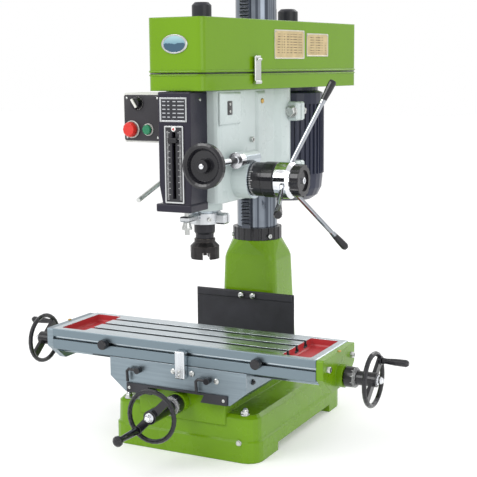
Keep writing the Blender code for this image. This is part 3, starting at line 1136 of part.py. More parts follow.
def build_latch(name, side):
    """A toggle on the tray's side wall that stands over the seam."""
    y = SPINDLE_Y + 0.055
    wall_x = 0.050 + (y - (SPINDLE_Y - 0.091)) * (0.072 / 0.49)
    lean = math.atan(0.072 / 0.49)
    pivot = Vector((side * (wall_x + 0.0045), y, HEAD_TOP + 0.012))
    body_name = name + "_turn"
    BODIES[body_name] = ("head", tuple(pivot))
    make_body(body_name)
    plate = block((-0.0015, -0.009, 0.002), (0.0015, 0.009, 0.044), 0.001, 1)
    barrel = rod(0.003, -0.009, 0.009, "Y", (0, 0), 12)
    lip = block((0.0005, -0.006, 0.036), (0.006, 0.006, 0.040), 0.001, 1)
    for shape in (plate, barrel, lip):
        offset = Vector(shape.location)
        if side < 0:
            offset.x = -offset.x
        shape.location = pivot + Matrix.Rotation(-side * lean, 3, "Z") @ offset
        shape.rotation_euler = (shape.rotation_euler.x, 0, -side * lean)
    part(name, plate, body_name, "zinc", [barrel, lip])


# ================================================================ make it
clear_scene()
PARTS = make_collection("benchtop_milling_machine")
CUTTERS = make_collection("cutters", hidden=True)
EMPTIES = {}
FINISHES = {
    "green_paint": material("green_paint", (0.20, 0.42, 0.02), 0.35),
    "grey_paint": material("grey_paint", (0.42, 0.46, 0.45), 0.45),
    "charcoal_paint": material("charcoal_paint", (0.025, 0.023, 0.040), 0.40),
    "ground_steel": material("ground_steel", (0.50, 0.55, 0.56), 0.30, 1.0),
    "chrome": material("chrome", (0.80, 0.80, 0.80), 0.10, 1.0),
    "zinc": material("zinc", (0.62, 0.62, 0.60), 0.32, 1.0),
    "aluminium": material("aluminium", (0.70, 0.70, 0.70), 0.35, 1.0),
    "brass": material("brass", (0.60, 0.42, 0.16), 0.35, 1.0),
    "black_iron": material("black_iron", (0.020, 0.020, 0.024), 0.40, 0.6),
    "black_plastic": material("black_plastic", (0.015, 0.015, 0.018), 0.35),
    "black_rubber": material("black_rubber", (0.020, 0.020, 0.028), 0.60),
    "grey_plastic": material("grey_plastic", (0.60, 0.60, 0.58), 0.45),
    "red_plastic": material("red_plastic", (0.60, 0.05, 0.04), 0.35),
    "green_plastic": material("green_plastic", (0.02, 0.20, 0.10), 0.35),
}
for body in list(BODIES):
    make_body(body)
build_base()
build_column()
build_guard()
build_cross_feed()
build_saddle()
build_table()
build_table_feed()
build_head()
build_front_panel()
build_controls()
build_lift()
build_quill()
build_spindle()
build_feed()
build_fine_feed()
build_motor()
build_drive()
build_guards()
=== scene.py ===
"""Adds the finishes, fasteners, plates, camera and lights to the benchtop milling machine."""

import math

import bmesh
import bpy
from mathutils import Matrix, Vector


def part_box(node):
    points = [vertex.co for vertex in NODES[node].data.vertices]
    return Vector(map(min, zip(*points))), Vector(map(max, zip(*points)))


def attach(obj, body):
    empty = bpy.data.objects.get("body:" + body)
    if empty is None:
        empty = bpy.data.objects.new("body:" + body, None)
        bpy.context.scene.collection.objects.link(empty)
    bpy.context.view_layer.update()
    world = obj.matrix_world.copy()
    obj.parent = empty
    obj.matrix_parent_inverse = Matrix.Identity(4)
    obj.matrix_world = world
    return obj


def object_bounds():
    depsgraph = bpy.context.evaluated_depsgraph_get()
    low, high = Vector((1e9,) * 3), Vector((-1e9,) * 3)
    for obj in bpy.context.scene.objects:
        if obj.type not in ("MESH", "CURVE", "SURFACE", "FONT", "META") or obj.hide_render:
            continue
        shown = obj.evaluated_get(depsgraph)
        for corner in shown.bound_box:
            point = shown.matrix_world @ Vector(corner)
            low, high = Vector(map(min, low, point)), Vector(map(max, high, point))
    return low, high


bl_info = {
    "name": "Bench Mill Finishing",
    "version": (1, 0, 0),
    "blender": (4, 5, 0),
    "location": "3D View > Sidebar > Bench Mill",
    "description": "Fits the fasteners, plates and finishes of a benchtop milling machine",
    "category": "Object",
}

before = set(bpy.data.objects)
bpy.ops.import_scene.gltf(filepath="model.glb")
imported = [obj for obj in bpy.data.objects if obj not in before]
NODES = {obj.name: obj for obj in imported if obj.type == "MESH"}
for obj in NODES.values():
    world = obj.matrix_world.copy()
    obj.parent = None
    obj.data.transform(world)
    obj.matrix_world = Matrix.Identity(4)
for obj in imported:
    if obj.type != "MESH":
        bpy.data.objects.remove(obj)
CAD_BOX = [list(corner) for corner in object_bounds()]

UP, DOWN = Vector((0, 0, 1)), Vector((0, 0, -1))
FRONT, REAR = Vector((0, -1, 0)), Vector((0, 1, 0))
RIGHT, LEFT = Vector((1, 0, 0)), Vector((-1, 0, 0))
CORNERS = ((1, 1), (1, -1), (-1, 1), (-1, -1))

# Places that several pieces share.
COLUMN_Y = 0.1203  # axis of the column
FEED_Y, FEED_Z = -0.0547, 0.457  # axis of the feed shaft
SEAM_BEAD_HEIGHTS = (0.6372, 0.6312)  # of the lid's and the tray's rolled edges
CLAMP_HEIGHTS = (0.455, 0.563)  # of the head's two clamp bolts


def shade(red, green, blue):
    """A colour from 0 to 255 as linear values."""
    return [((c / 255 + 0.055) / 1.055) ** 2.4 if c > 10 else c / 255 / 12.92 for c in (red, green, blue)]


def middle(node):
    """The centre of a CAD piece's box."""
    low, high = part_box(node)
    return (low + high) / 2


def surface(node, start, towards):
    """The point where a ray meets a CAD piece, and the face's outward direction."""
    hit, place, facing, _ = NODES[node].ray_cast(Vector(start), Vector(towards))
    if not hit:
        raise RuntimeError(f"nothing of {node} is in the way from {tuple(start)}")
    return place, facing


# ---------------------------------------------------------------- sizes and colours
def colour_choice(name, description, red, green, blue):
    return bpy.props.FloatVectorProperty(
        name=name, description=description, subtype="COLOR", size=3, min=0, max=1,
        default=shade(red, green, blue))


def length_choice(name, description, default, low, high):
    return bpy.props.FloatProperty(
        name=name, description=description, default=default, min=low, max=high, subtype="DISTANCE",
        unit="LENGTH")


class BenchMillColours(bpy.types.PropertyGroup):
    """Colours of the paints and materials."""

    green: colour_choice(
        "Green enamel", "Enamel of the base, the column foot and the belt guard", 102, 143, 3)
    casting: colour_choice("Casting enamel", "Pale enamel of the head casting", 190, 201, 200)
    charcoal: colour_choice("Charcoal enamel", "Dark enamel of the front cover and the motor", 32, 30, 44)
    steel: colour_choice(
        "Ground steel", "Ground faces of the table, the saddle and the spindle", 190, 200, 205)
    well: colour_choice("Well paint", "Red paint in the drain wells of the table", 176, 54, 58)
    black: colour_choice("Black", "Handwheels, knobs and grips", 22, 22, 27)
    shell: colour_choice("Control shell", "Moulded shell of the control box", 205, 205, 200)
    plate: colour_choice("Side plates", "Plates on the side of the belt guard", 196, 176, 132)
    badge: colour_choice("Badge", "Oval on the front of the belt guard", 58, 112, 138)


class BenchMillFasteners(bpy.types.PropertyGroup):
    """Sizes of the fasteners."""

    bolt_width: length_choice(
        "Bolt head", "Width of the large bolt heads across their flats", 0.0115, 0.006, 0.03)
    clamp_width: length_choice(
        "Clamp bolt head", "Width of the head's clamp bolts across their flats", 0.017, 0.008, 0.03)
    cap_screw: length_choice("Cap screw head", "Diameter of the socket screws' heads", 0.010, 0.004, 0.02)
    edge: length_choice("Edge rounding", "Rounding of the plates' edges", 0.0004, 0.0001, 0.002)


class BenchMillStage(bpy.types.PropertyGroup):
    """The camera and the lights."""

    lens: bpy.props.FloatProperty(
        name="Lens", description="Focal length on a sensor 36 mm wide",
        default=82.1, min=20, max=200, unit="CAMERA")
    turn: bpy.props.FloatProperty(
        name="Turn", description="Angle of the camera round the machine, from straight in front",
        default=math.radians(27.065), subtype="ANGLE", unit="ROTATION")
    height_angle: bpy.props.FloatProperty(
        name="Height angle", description="Angle of the camera above the machine",
        default=math.radians(8.9365), subtype="ANGLE", unit="ROTATION")
    roll: bpy.props.FloatProperty(
        name="Roll", description="Turn of the camera about its own view",
        default=math.radians(-0.516), subtype="ANGLE", unit="ROTATION")
    distance: length_choice("Distance", "Distance of the camera from the point it looks at", 2.0654, 0.5, 10)
    sky: bpy.props.FloatProperty(
        name="Sky", description="Strength of the light from all round",
        default=1.0, min=0, max=3)
    key: bpy.props.FloatProperty(
        name="Key light", description="Power of the main light in watts",
        default=42.0, min=0, max=500)


# ---------------------------------------------------------------- finishes
class Finish:
    """A material made from nodes that read Object coordinates."""

    def __init__(self, name, colour, metallic=0.0, roughness=0.5, **sockets):
        self.material = bpy.data.materials.new(name)
        self.material.use_nodes = True
        self.tree = self.material.node_tree
        self.surface = self.tree.nodes["Principled BSDF"]
        self.place = self.node("ShaderNodeTexCoord").outputs["Object"]
        self.parts = None
        self.colour = (*colour, 1.0)
        self.surface.inputs["Base Color"].default_value = self.colour
        self.surface.inputs["Metallic"].default_value = metallic
        self.surface.inputs["Roughness"].default_value = roughness
        self.metallic, self.roughness = metallic, roughness
        for socket, value in sockets.items():
            self.surface.inputs[socket.replace("_", " ")].default_value = value

    def node(self, kind, *inputs, **settings):
        made = self.tree.nodes.new(kind)
        for setting, value in settings.items():
            setattr(made, setting, value)
        for socket, value in zip(made.inputs, inputs):
            self.feed(socket, value)
        return made

    def feed(self, socket, value):
        if isinstance(value, bpy.types.NodeSocket):
            self.tree.links.new(value, socket)
        elif value is not None:
            socket.default_value = value

    def sum(self, how, *values):
        return self.node("ShaderNodeMath", *values, operation=how).outputs[0]

    def times(self, *values):
        return self.sum("MULTIPLY", *values)

    def axis(self, letter):
        if self.parts is None:
            self.parts = self.node("ShaderNodeSeparateXYZ", self.place).outputs
        return self.parts[letter]

    def span(self, value, low, high, start=0.0, end=1.0):
        """The value's place between low and high, from start to end."""
        return self.node("ShaderNodeMapRange", value, low, high, start, end).outputs["Result"]

    def noise(self, scale, stretch=(1, 1, 1), detail=3.0):
        where = self.node("ShaderNodeMapping", self.place)
        where.inputs["Scale"].default_value = stretch
        made = self.node("ShaderNodeTexNoise")
        self.feed(made.inputs["Vector"], where.outputs[0])
        made.inputs["Scale"].default_value = scale
        made.inputs["Detail"].default_value = detail
        return made.outputs[0]

    def above(self, letter, value, soft=0.0003):
        return self.span(self.axis(letter), value - soft, value + soft)

    def below(self, letter, value, soft=0.0003):
        return self.span(self.axis(letter), value - soft, value + soft, 1.0, 0.0)

    def within(self, low, high, soft=0.0003):
        """1 inside a box and 0 outside it. None leaves a side open."""
        shares = [self.above(letter, v, soft) for letter, v in zip("XYZ", low) if v is not None]
        shares += [self.below(letter, v, soft) for letter, v in zip("XYZ", high) if v is not None]
        whole = shares[0]
        for share in shares[1:]:
            whole = self.times(whole, share)
        return whole

    def ball(self, centre, radius):
        """1 within radius of a point, and 0 beyond it."""
        away = self.node("ShaderNodeVectorMath", self.place, tuple(centre), operation="DISTANCE")
        return self.span(away.outputs["Value"], radius - 0.0004, radius + 0.0004, 1.0, 0.0)

    def ring_angle(self, centre, letters):
        """The angle round an axis through the centre, from 0 to 1 for a full turn."""
        a, b = (self.sum("SUBTRACT", self.axis(letter), centre["XYZ".index(letter)]) for letter in letters)
        return self.sum("ADD", self.sum("DIVIDE", self.sum("ARCTAN2", a, b), math.tau), 0.5)

    def radius_from(self, centre, letters):
        a, b = (self.sum("SUBTRACT", self.axis(letter), centre["XYZ".index(letter)]) for letter in letters)
        return self.sum("SQRT", self.sum("ADD", self.times(a, a), self.times(b, b)))

    def ticks(self, value, count, width):
        """Narrow lines, count of them for each unit of value. Width is a line's share of the pitch."""
        turned = self.sum("FRACT", self.times(value, count))
        return self.sum("LESS_THAN", turned, width)

    def tint(self, share, colour, metallic=None, roughness=None):
        """Colours the share of the surface, over what is there already."""
        socket = self.surface.inputs["Base Color"]
        below = socket.links[0].from_socket if socket.links else self.colour
        mix = self.node("ShaderNodeMix", data_type="RGBA")
        self.feed(mix.inputs["Factor"], share)
        self.feed(mix.inputs["A"] if mix.inputs["A"].type == "RGBA" else mix.inputs[6], below)
        self.feed(mix.inputs[7], (*colour[:3], 1.0))
        self.feed(socket, mix.outputs[2])
        for name, new in (("Metallic", metallic), ("Roughness", roughness)):
            if new is not None:
                self.blend_number(name, share, new)
        return self

    def blend_number(self, name, share, new):
        socket = self.surface.inputs[name]
        below = socket.links[0].from_socket if socket.links else socket.default_value
        mix = self.node("ShaderNodeMix", data_type="FLOAT")
        self.feed(mix.inputs[0], share)
        self.feed(mix.inputs[2], below)
        self.feed(mix.inputs[3], new)
        self.feed(socket, mix.outputs[0])

    def mottle(self, scale, darker, lighter, stretch=(1, 1, 1), detail=3.0):
        """Varies the colour softly between two multiples of itself."""
        share = self.noise(scale, stretch, detail)
        dark = [c * darker for c in self.colour[:3]]
        light = [min(1.0, c * lighter) for c in self.colour[:3]]
        self.tint(self.span(share, 0.30, 0.55, 1.0, 0.0), dark)
        self.tint(self.span(share, 0.52, 0.75), light)
        return self

    def rub(self, spread, scale, stretch=(1, 1, 1)):
        """Varies the roughness by a noise."""
        value = self.span(self.noise(scale, stretch), 0.3, 0.7, self.roughness - spread,
            self.roughness + spread)
        self.feed(self.surface.inputs["Roughness"], value)
        return self

    def worn_and_highlit_edges(self, colour, radius, strength, metallic=None, roughness=None):
        """Lighter colour along sharp edges: partly thinner, worn paint and partly a painted highlight where
        the edges catch the light.
        """
        round_edge = self.node("ShaderNodeBevel", samples=6)
        round_edge.inputs["Radius"].default_value = radius
        flat = self.node("ShaderNodeNewGeometry").outputs["Normal"]
        turned = self.node("ShaderNodeVectorMath", round_edge.outputs[0], flat, operation="DOT_PRODUCT")
        edge = self.span(turned.outputs["Value"], 0.86, 0.985, strength, 0.0)
        broken = self.times(edge, self.span(self.noise(140.0), 0.35, 0.62))
        return self.tint(broken, colour, metallic, roughness)

    def relief(self, height, distance, strength=1.0, rounded=0.0):
        """Bump from a height, with the edges rounded in the light."""
        bump = self.node("ShaderNodeBump")
        self.feed(bump.inputs["Height"], height)
        bump.inputs["Distance"].default_value = distance
        bump.inputs["Strength"].default_value = strength
        if rounded:
            round_edge = self.node("ShaderNodeBevel", samples=6)
            round_edge.inputs["Radius"].default_value = rounded
            self.feed(bump.inputs["Normal"], round_edge.outputs[0])
        self.feed(self.surface.inputs["Normal"], bump.outputs[0])
        return self

    def grain(self, scale, depth, rounded=0.0):
        """A fine bump of one even noise."""
        return self.relief(self.noise(scale), depth, 0.5, rounded)


def chosen(name):
    """A colour as the panel has it."""
    return list(getattr(bpy.context.scene.bench_mill_colours, name))


def fasteners():
    return bpy.context.scene.bench_mill_fasteners


def cast_enamel(name, colour, roughness=0.26, wear_and_highlight=0.5):
    """Thick enamel on a casting: soft waves from the filler, and fine orange peel."""
    paint = Finish(name, colour, 0.0, roughness, Coat_Weight=0.10, Coat_Roughness=0.12,
                   Specular_IOR_Level=0.28)
    paint.mottle(9.0, 0.90, 1.07)
    paint.rub(0.06, 24.0)
    # The edges get a paler copy of the paint: partly wear, partly a painted highlight.
    pale = [min(1.0, c * 1.3 + 0.015) for c in colour]
    paint.worn_and_highlit_edges(pale, 0.0009, wear_and_highlight)
    waves = paint.sum("ADD", paint.times(paint.noise(38.0), 2.4), paint.noise(420.0, detail=1.0))
    return paint.relief(waves, 0.00035, 0.5, 0.0024)


def sheet_enamel(name, colour):
    """Sprayed enamel on sheet metal."""
    paint = Finish(name, colour, 0.0, 0.22, Coat_Weight=0.14, Coat_Roughness=0.08, Specular_IOR_Level=0.28)
    paint.mottle(5.0, 0.94, 1.05)
    paint.rub(0.05, 14.0)
    # The edges get a paler copy of the paint: partly wear, partly a painted highlight.
    paint.worn_and_highlit_edges([min(1.0, c * 1.3 + 0.015) for c in colour], 0.0007, 0.4)
    return paint.relief(paint.noise(520.0, detail=1.0), 0.00012, 0.5, 0.0035)


def ground_metal(name, colour, along, roughness):
    """Ground metal with fine scratches along one direction."""
    stretch = tuple(0.03 if letter == along else 1.0 for letter in "XYZ")
    metal = Finish(name, colour, 1.0, roughness, Anisotropic=0.35)
    metal.mottle(420.0, 0.91, 1.05, stretch)
    metal.rub(0.10, 260.0, stretch)
    metal.tint(metal.span(metal.noise(11.0), 0.60, 0.80, 0.0, 0.30), [c * 0.72 for c in colour])
    # White along the edges: partly worn bright metal, partly a painted highlight.
    metal.worn_and_highlit_edges([1.0, 1.0, 1.0], 0.0006, 0.5)
    return metal.relief(metal.noise(900.0, stretch, 2.0), 0.00010, 0.5, 0.0008)


def turned_metal(name, colour, centre, letters, roughness):
    """Metal turned on a lathe, with fine rings round its axis."""
    metal = Finish(name, colour, 1.0, roughness)
    rings = metal.sum("SINE", metal.times(metal.radius_from(centre, letters), 9000.0))
    metal.mottle(60.0, 0.86, 1.08)
    metal.rub(0.07, 120.0)
    return metal.relief(metal.sum("ADD", rings, metal.noise(200.0)), 0.00004, 0.5, 0.0006)


def plated(name, colour, roughness):
    """Bright plating with a little haze."""
    metal = Finish(name, colour, 1.0, roughness)
    metal.mottle(34.0, 0.88, 1.06)
    metal.rub(0.06, 60.0)
    return metal.grain(300.0, 0.00003, 0.0006)


def moulded(name, colour, roughness, grain=900.0, depth=0.00006):
    """Moulded plastic with a fine grain."""
    plastic = Finish(name, colour, 0.0, roughness, IOR=1.5)
    plastic.mottle(18.0, 0.90, 1.08)
    plastic.rub(0.06, 45.0)
    return plastic.relief(plastic.noise(grain, detail=1.0), depth, 0.5, 0.0008)


def black_enamel(name, roughness=0.24):
    """Black enamel with bluish edges: partly worn paint, partly a painted highlight."""
    paint = Finish(name, chosen("black"), 0.0, roughness, Coat_Weight=0.3, Coat_Roughness=0.10,
                   Specular_IOR_Level=0.35)
    paint.mottle(16.0, 0.75, 1.35)
    paint.rub(0.07, 30.0)
    paint.worn_and_highlit_edges(shade(120, 124, 130), 0.0008, 0.45)
    return paint.relief(paint.noise(260.0, detail=1.0), 0.00010, 0.5, 0.0012)


def rubber_sheet(name):
    rubber = Finish(name, shade(40, 40, 46), 0.0, 0.62)
    rubber.mottle(26.0, 0.75, 1.25)
    rubber.rub(0.10, 40.0)
    return rubber.relief(rubber.noise(700.0), 0.00012, 0.6, 0.0008)


STEEL_GREY = shade(176, 186, 192)
CHROME_GREY = shade(226, 228, 232)
PAD_RISE = 0.0036  # height of the raised pads on the head's side
ZINC_GREY = shade(198, 200, 198)
OXIDE = shade(44, 44, 48)


def graduated(finish, centre, letters, across, lines, face):
    """Engraved lines round a dial's rim, each fifth line longer. Face is the plain side's coordinate."""
    turn = finish.ring_angle(centre, letters)
    away = finish.sum("ABSOLUTE", finish.sum("SUBTRACT", finish.axis(across), face))
    short = finish.times(finish.ticks(turn, lines, 0.22), finish.span(away, 0.0042, 0.0046, 1.0, 0.0))
    tall = finish.times(finish.ticks(turn, lines / 5, 0.22 / 5), finish.span(away, 0.0072, 0.0076, 1.0, 0.0))
    return finish.tint(finish.sum("MAXIMUM", short, tall), (0.85, 0.86, 0.86), 0.0, 0.5)


def dress(node, finish):
    """Gives a CAD piece its finish."""
    piece = NODES[node]
    piece.data.materials.clear()
    piece.data.materials.append(finish.material)
    for face in piece.data.polygons:
        face.material_index = 0


# ---------------------------------------------------------------- modelling steps
def only(piece):
    bpy.ops.object.select_all(action="DESELECT")
    piece.select_set(True)
    bpy.context.view_layer.objects.active = piece
    return piece


def open_mesh(piece, kind="FACE"):
    only(piece)
    bpy.ops.object.mode_set(mode="EDIT")
    bpy.ops.mesh.select_mode(type=kind)
    bpy.ops.mesh.select_all(action="DESELECT")
    return bmesh.from_edit_mesh(piece.data)


def close_mesh(piece):
    bpy.ops.mesh.select_all(action="SELECT")
    bpy.ops.mesh.normals_make_consistent(inside=False)
    bpy.ops.object.mode_set(mode="OBJECT")
    return piece


def pick_faces(piece, test):
    mesh = bmesh.from_edit_mesh(piece.data)
    for face in mesh.faces:
        face.select_set(bool(test(face)))
    bmesh.update_edit_mesh(piece.data)


def stand(piece, place, towards=UP, spin=0.0):
    """Turns the piece's own +Z to a direction, puts it at the place, and settles that in its mesh."""
    only(piece)
    out = Vector(towards).normalized()
    across = UP.cross(out) if abs(out.z) < 0.9 else Vector((1, 0, 0))
    across.normalize()
    turn = Matrix((across, out.cross(across), out)).transposed().to_4x4()
    piece.matrix_world = Matrix.Translation(Vector(place)) @ turn @ Matrix.Rotation(spin, 4, "Z")
    bpy.ops.object.transform_apply(location=True, rotation=True, scale=True)
    return piece


def settle(piece, name, body, finish):
    """Names the piece, gives it its finish, and lets it ride on its body."""
    only(piece)
    piece.name = name
    piece.data.name = name
    if not piece.data.materials:
        piece.data.materials.append(finish.material)
    bpy.ops.object.shade_smooth_by_angle(angle=math.radians(35))
    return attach(piece, body)


def settle_all(name, pieces, body, finish):
    """Settles pieces as they are made, and numbers them from 1."""
    for number, piece in enumerate(pieces, 1):
        settle(piece, f"{name}_{number}", body, finish)


def turned(steps, sides=24, place=(0, 0, 0), towards=UP, spin=0.0):
    """A turned piece: a disc that is extruded and resized step by step. Steps are (radius, height)."""
    bpy.ops.object.select_all(action="DESELECT")
    radius, height = steps[0]
    bpy.ops.mesh.primitive_circle_add(vertices=sides, radius=radius, fill_type="NGON", location=(0, 0, 0))
    piece = bpy.context.object
    bpy.ops.object.mode_set(mode="EDIT")
    bpy.ops.mesh.select_mode(type="FACE")
    bpy.ops.mesh.select_all(action="SELECT")
    bpy.ops.transform.translate(value=(0, 0, height))
    for new_radius, new_height in steps[1:]:
        bpy.ops.mesh.extrude_region_move(TRANSFORM_OT_translate={"value": (0, 0, new_height - height)})
        share = new_radius / radius
        bpy.ops.transform.resize(value=(share, share, 1), center_override=(0, 0, new_height))
        radius, height = new_radius, new_height
    close_mesh(piece)
    return stand(piece, place, towards, spin)


def drive(piece, top, radius, depth):
    """Sinks a round field in the top face, as a socket for the tool."""
    open_mesh(piece)
    pick_faces(piece, lambda face: face.normal.z > 0.99 and face.calc_center_median().z > top - 1e-5)
    bpy.ops.mesh.inset(thickness=max(1e-5, radius), depth=0)
    bpy.ops.mesh.inset(thickness=radius * 0.12, depth=-depth)
    return close_mesh(piece)


def cap_screw(width, height, place, towards):
    """A socket screw's head: a turned head with a chamfer and a socket."""
    r = width / 2
    piece = turned([(r, -0.0005), (r, height * 0.86), (r * 0.9, height)], 20)
    drive(piece, height, r * 0.38, height * 0.55)
    return stand(piece, place, towards)


def round_screw(width, height, place, towards, spin):
    """A domed screw head with a slot cut across it."""
    r = width / 2
    piece = turned([(r, -0.0004), (r, height * 0.3), (r * 0.9, height * 0.68), (r * 0.62, height * 0.92),
                    (r * 0.3, height)], 20)
    cutter = beam((0, 0, height), (width * 1.2, width * 0.14, height * 0.9))
    cut_away(piece, cutter)
    return stand(piece, place, towards, spin)


def hex_head(width, height, place, towards, spin=0.0, washer=True):
    """A hexagon head with a chamfered top on a round washer."""
    r = width / math.sqrt(3)
    base = width * 0.11 if washer else -0.0005
    head = turned([(r, base), (r, base + height * 0.88), (r * 0.9, base + height), (r * 0.82, base + height)],
                  6)
    pieces = [head]
    if washer:
        pieces.append(turned([(width * 0.66, -0.0005), (width * 0.68, width * 0.02),
            (width * 0.68, width * 0.09), (width * 0.64, width * 0.12)], 24))
    return stand(fused(pieces), place, towards, spin)


def acorn_head(width, place, towards, spin=0.0):
    """A domed nut on a washer."""
    r = width / math.sqrt(3)
    nut = turned([(r, 0.001), (r, width * 0.52), (r * 0.90, width * 0.58)], 6)
    dome_radius = width * 0.46
    dome = turned([(dome_radius, width * 0.5)] + [
        (dome_radius * math.cos(angle), width * 0.56 + dome_radius * math.sin(angle))
        for angle in (0.0, 0.35, 0.7, 1.0, 1.25, 1.45)], 24)
    washer = turned([(width * 0.70, -0.0005), (width * 0.72, 0.0003), (width * 0.72, 0.0013),
        (width * 0.69, 0.0017)], 24)
    return stand(fused([nut, dome, washer]), place, towards, spin)


def beam(centre, size):
    """A block at a place, as a start for a plate or a cutter."""
    bpy.ops.object.select_all(action="DESELECT")
    bpy.ops.mesh.primitive_cube_add(size=1, location=centre)
    piece = bpy.context.object
    piece.scale = size
    bpy.ops.object.transform_apply(location=True, rotation=True, scale=True)
    return piece


def apply_modifier(piece, kind, **settings):
    only(piece)
    made = piece.modifiers.new(kind.title(), kind)
    for name, value in settings.items():
        setattr(made, name, value)
    bpy.ops.object.modifier_apply(modifier=made.name)
    return piece


def cut_away(piece, *cutters):
    for cutter in cutters:
        apply_modifier(piece, "BOOLEAN", operation="DIFFERENCE", object=cutter, solver="EXACT")
        bpy.data.objects.remove(cutter)
    return piece


def fused(pieces):
    """Pieces joined in one object."""
    bpy.ops.object.select_all(action="DESELECT")
    for piece in pieces:
        piece.select_set(True)
    bpy.context.view_layer.objects.active = pieces[0]
    bpy.ops.object.join()
    return bpy.context.object


def bevelled(piece, width):
    return apply_modifier(piece, "BEVEL", width=width, segments=2, limit_method="ANGLE",
        angle_limit=math.radians(30))


def plate(width, height, thick, place, towards, border=0.0, sunk=0.0, field=None, rounding=0.0, spin=0.0):
    """A flat plate with rounded corners and, if asked, a raised border round a sunk field."""
    piece = beam((0, 0, thick / 2), (width, height, thick))
    if rounding:
        mesh = open_mesh(piece, "EDGE")
        for edge in mesh.edges:
            along = (edge.verts[1].co - edge.verts[0].co).normalized()
            edge.select_set(abs(along.z) > 0.9)
        bmesh.update_edit_mesh(piece.data)
        bpy.ops.mesh.bevel(offset=rounding, segments=5)
        close_mesh(piece)
    if border:
        open_mesh(piece)
        pick_faces(piece, lambda face: face.normal.z > 0.9)
        bpy.ops.mesh.inset(thickness=border, depth=0)
        bpy.ops.mesh.inset(thickness=min(0.0004, border / 3), depth=-sunk)
        if field:
            piece.data.materials.append(field[0].material)
            piece.data.materials.append(field[1].material)
            piece.active_material_index = 1
            bpy.ops.object.material_slot_assign()
        close_mesh(piece)
    else:
        bevelled(piece, min(fasteners().edge, thick / 3))
    return stand(piece, place, towards, spin)


# ---------------------------------------------------------------- finishing the CAD pieces
class MACHINE_OT_paint_castings(bpy.types.Operator):
    """Paint the base, the column foot, the head and the belt guard"""

    bl_idname = "bench_mill.paint_castings"
    bl_label = "Paint castings and covers"

    def execute(self, context):
        green = cast_enamel("green_cast_enamel", chosen("green"))
        for node in ("base_casting", "column_foot", "end_bracket_right"):
            dress(node, green)
        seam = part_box("belt_guard_tray")[1].z
        tray = sheet_enamel("green_tray_enamel", chosen("green"))
        tray.tint(tray.above("Z", seam - 0.0012), shade(30, 44, 12))
        dress("belt_guard_tray", tray)
        lid = sheet_enamel("green_lid_enamel", chosen("green"))
        lid.tint(lid.below("Z", seam + 0.0014), shade(30, 44, 12))
        # The top of the lid above 0.7242 is painted dark: a painted reflection.
        lid.tint(lid.above("Z", 0.7242), shade(36, 36, 44), roughness=0.4)
        dress("belt_guard_lid", lid)
        casting = cast_enamel("pale_casting_enamel", chosen("casting"), 0.30, 0.35)
        casting.tint(casting.above("X", 0.0812), STEEL_GREY, 1.0, 0.25)
        casting.tint(casting.below("Z", 0.4050), STEEL_GREY, 1.0, 0.30)
        bore = casting.sum("LESS_THAN", casting.radius_from((0, COLUMN_Y, 0), "XY"), 0.0382)
        casting.tint(bore, STEEL_GREY, 1.0, 0.3)
        dress("head_casting", casting)
        cover = cast_enamel("charcoal_cover_enamel", chosen("charcoal"), 0.34, 0.5)
        dress("front_panel", cover)
        motor = cast_enamel("charcoal_motor_enamel", shade(42, 46, 64), 0.32, 0.35)
        dress("motor", motor)
        return {"FINISHED"}


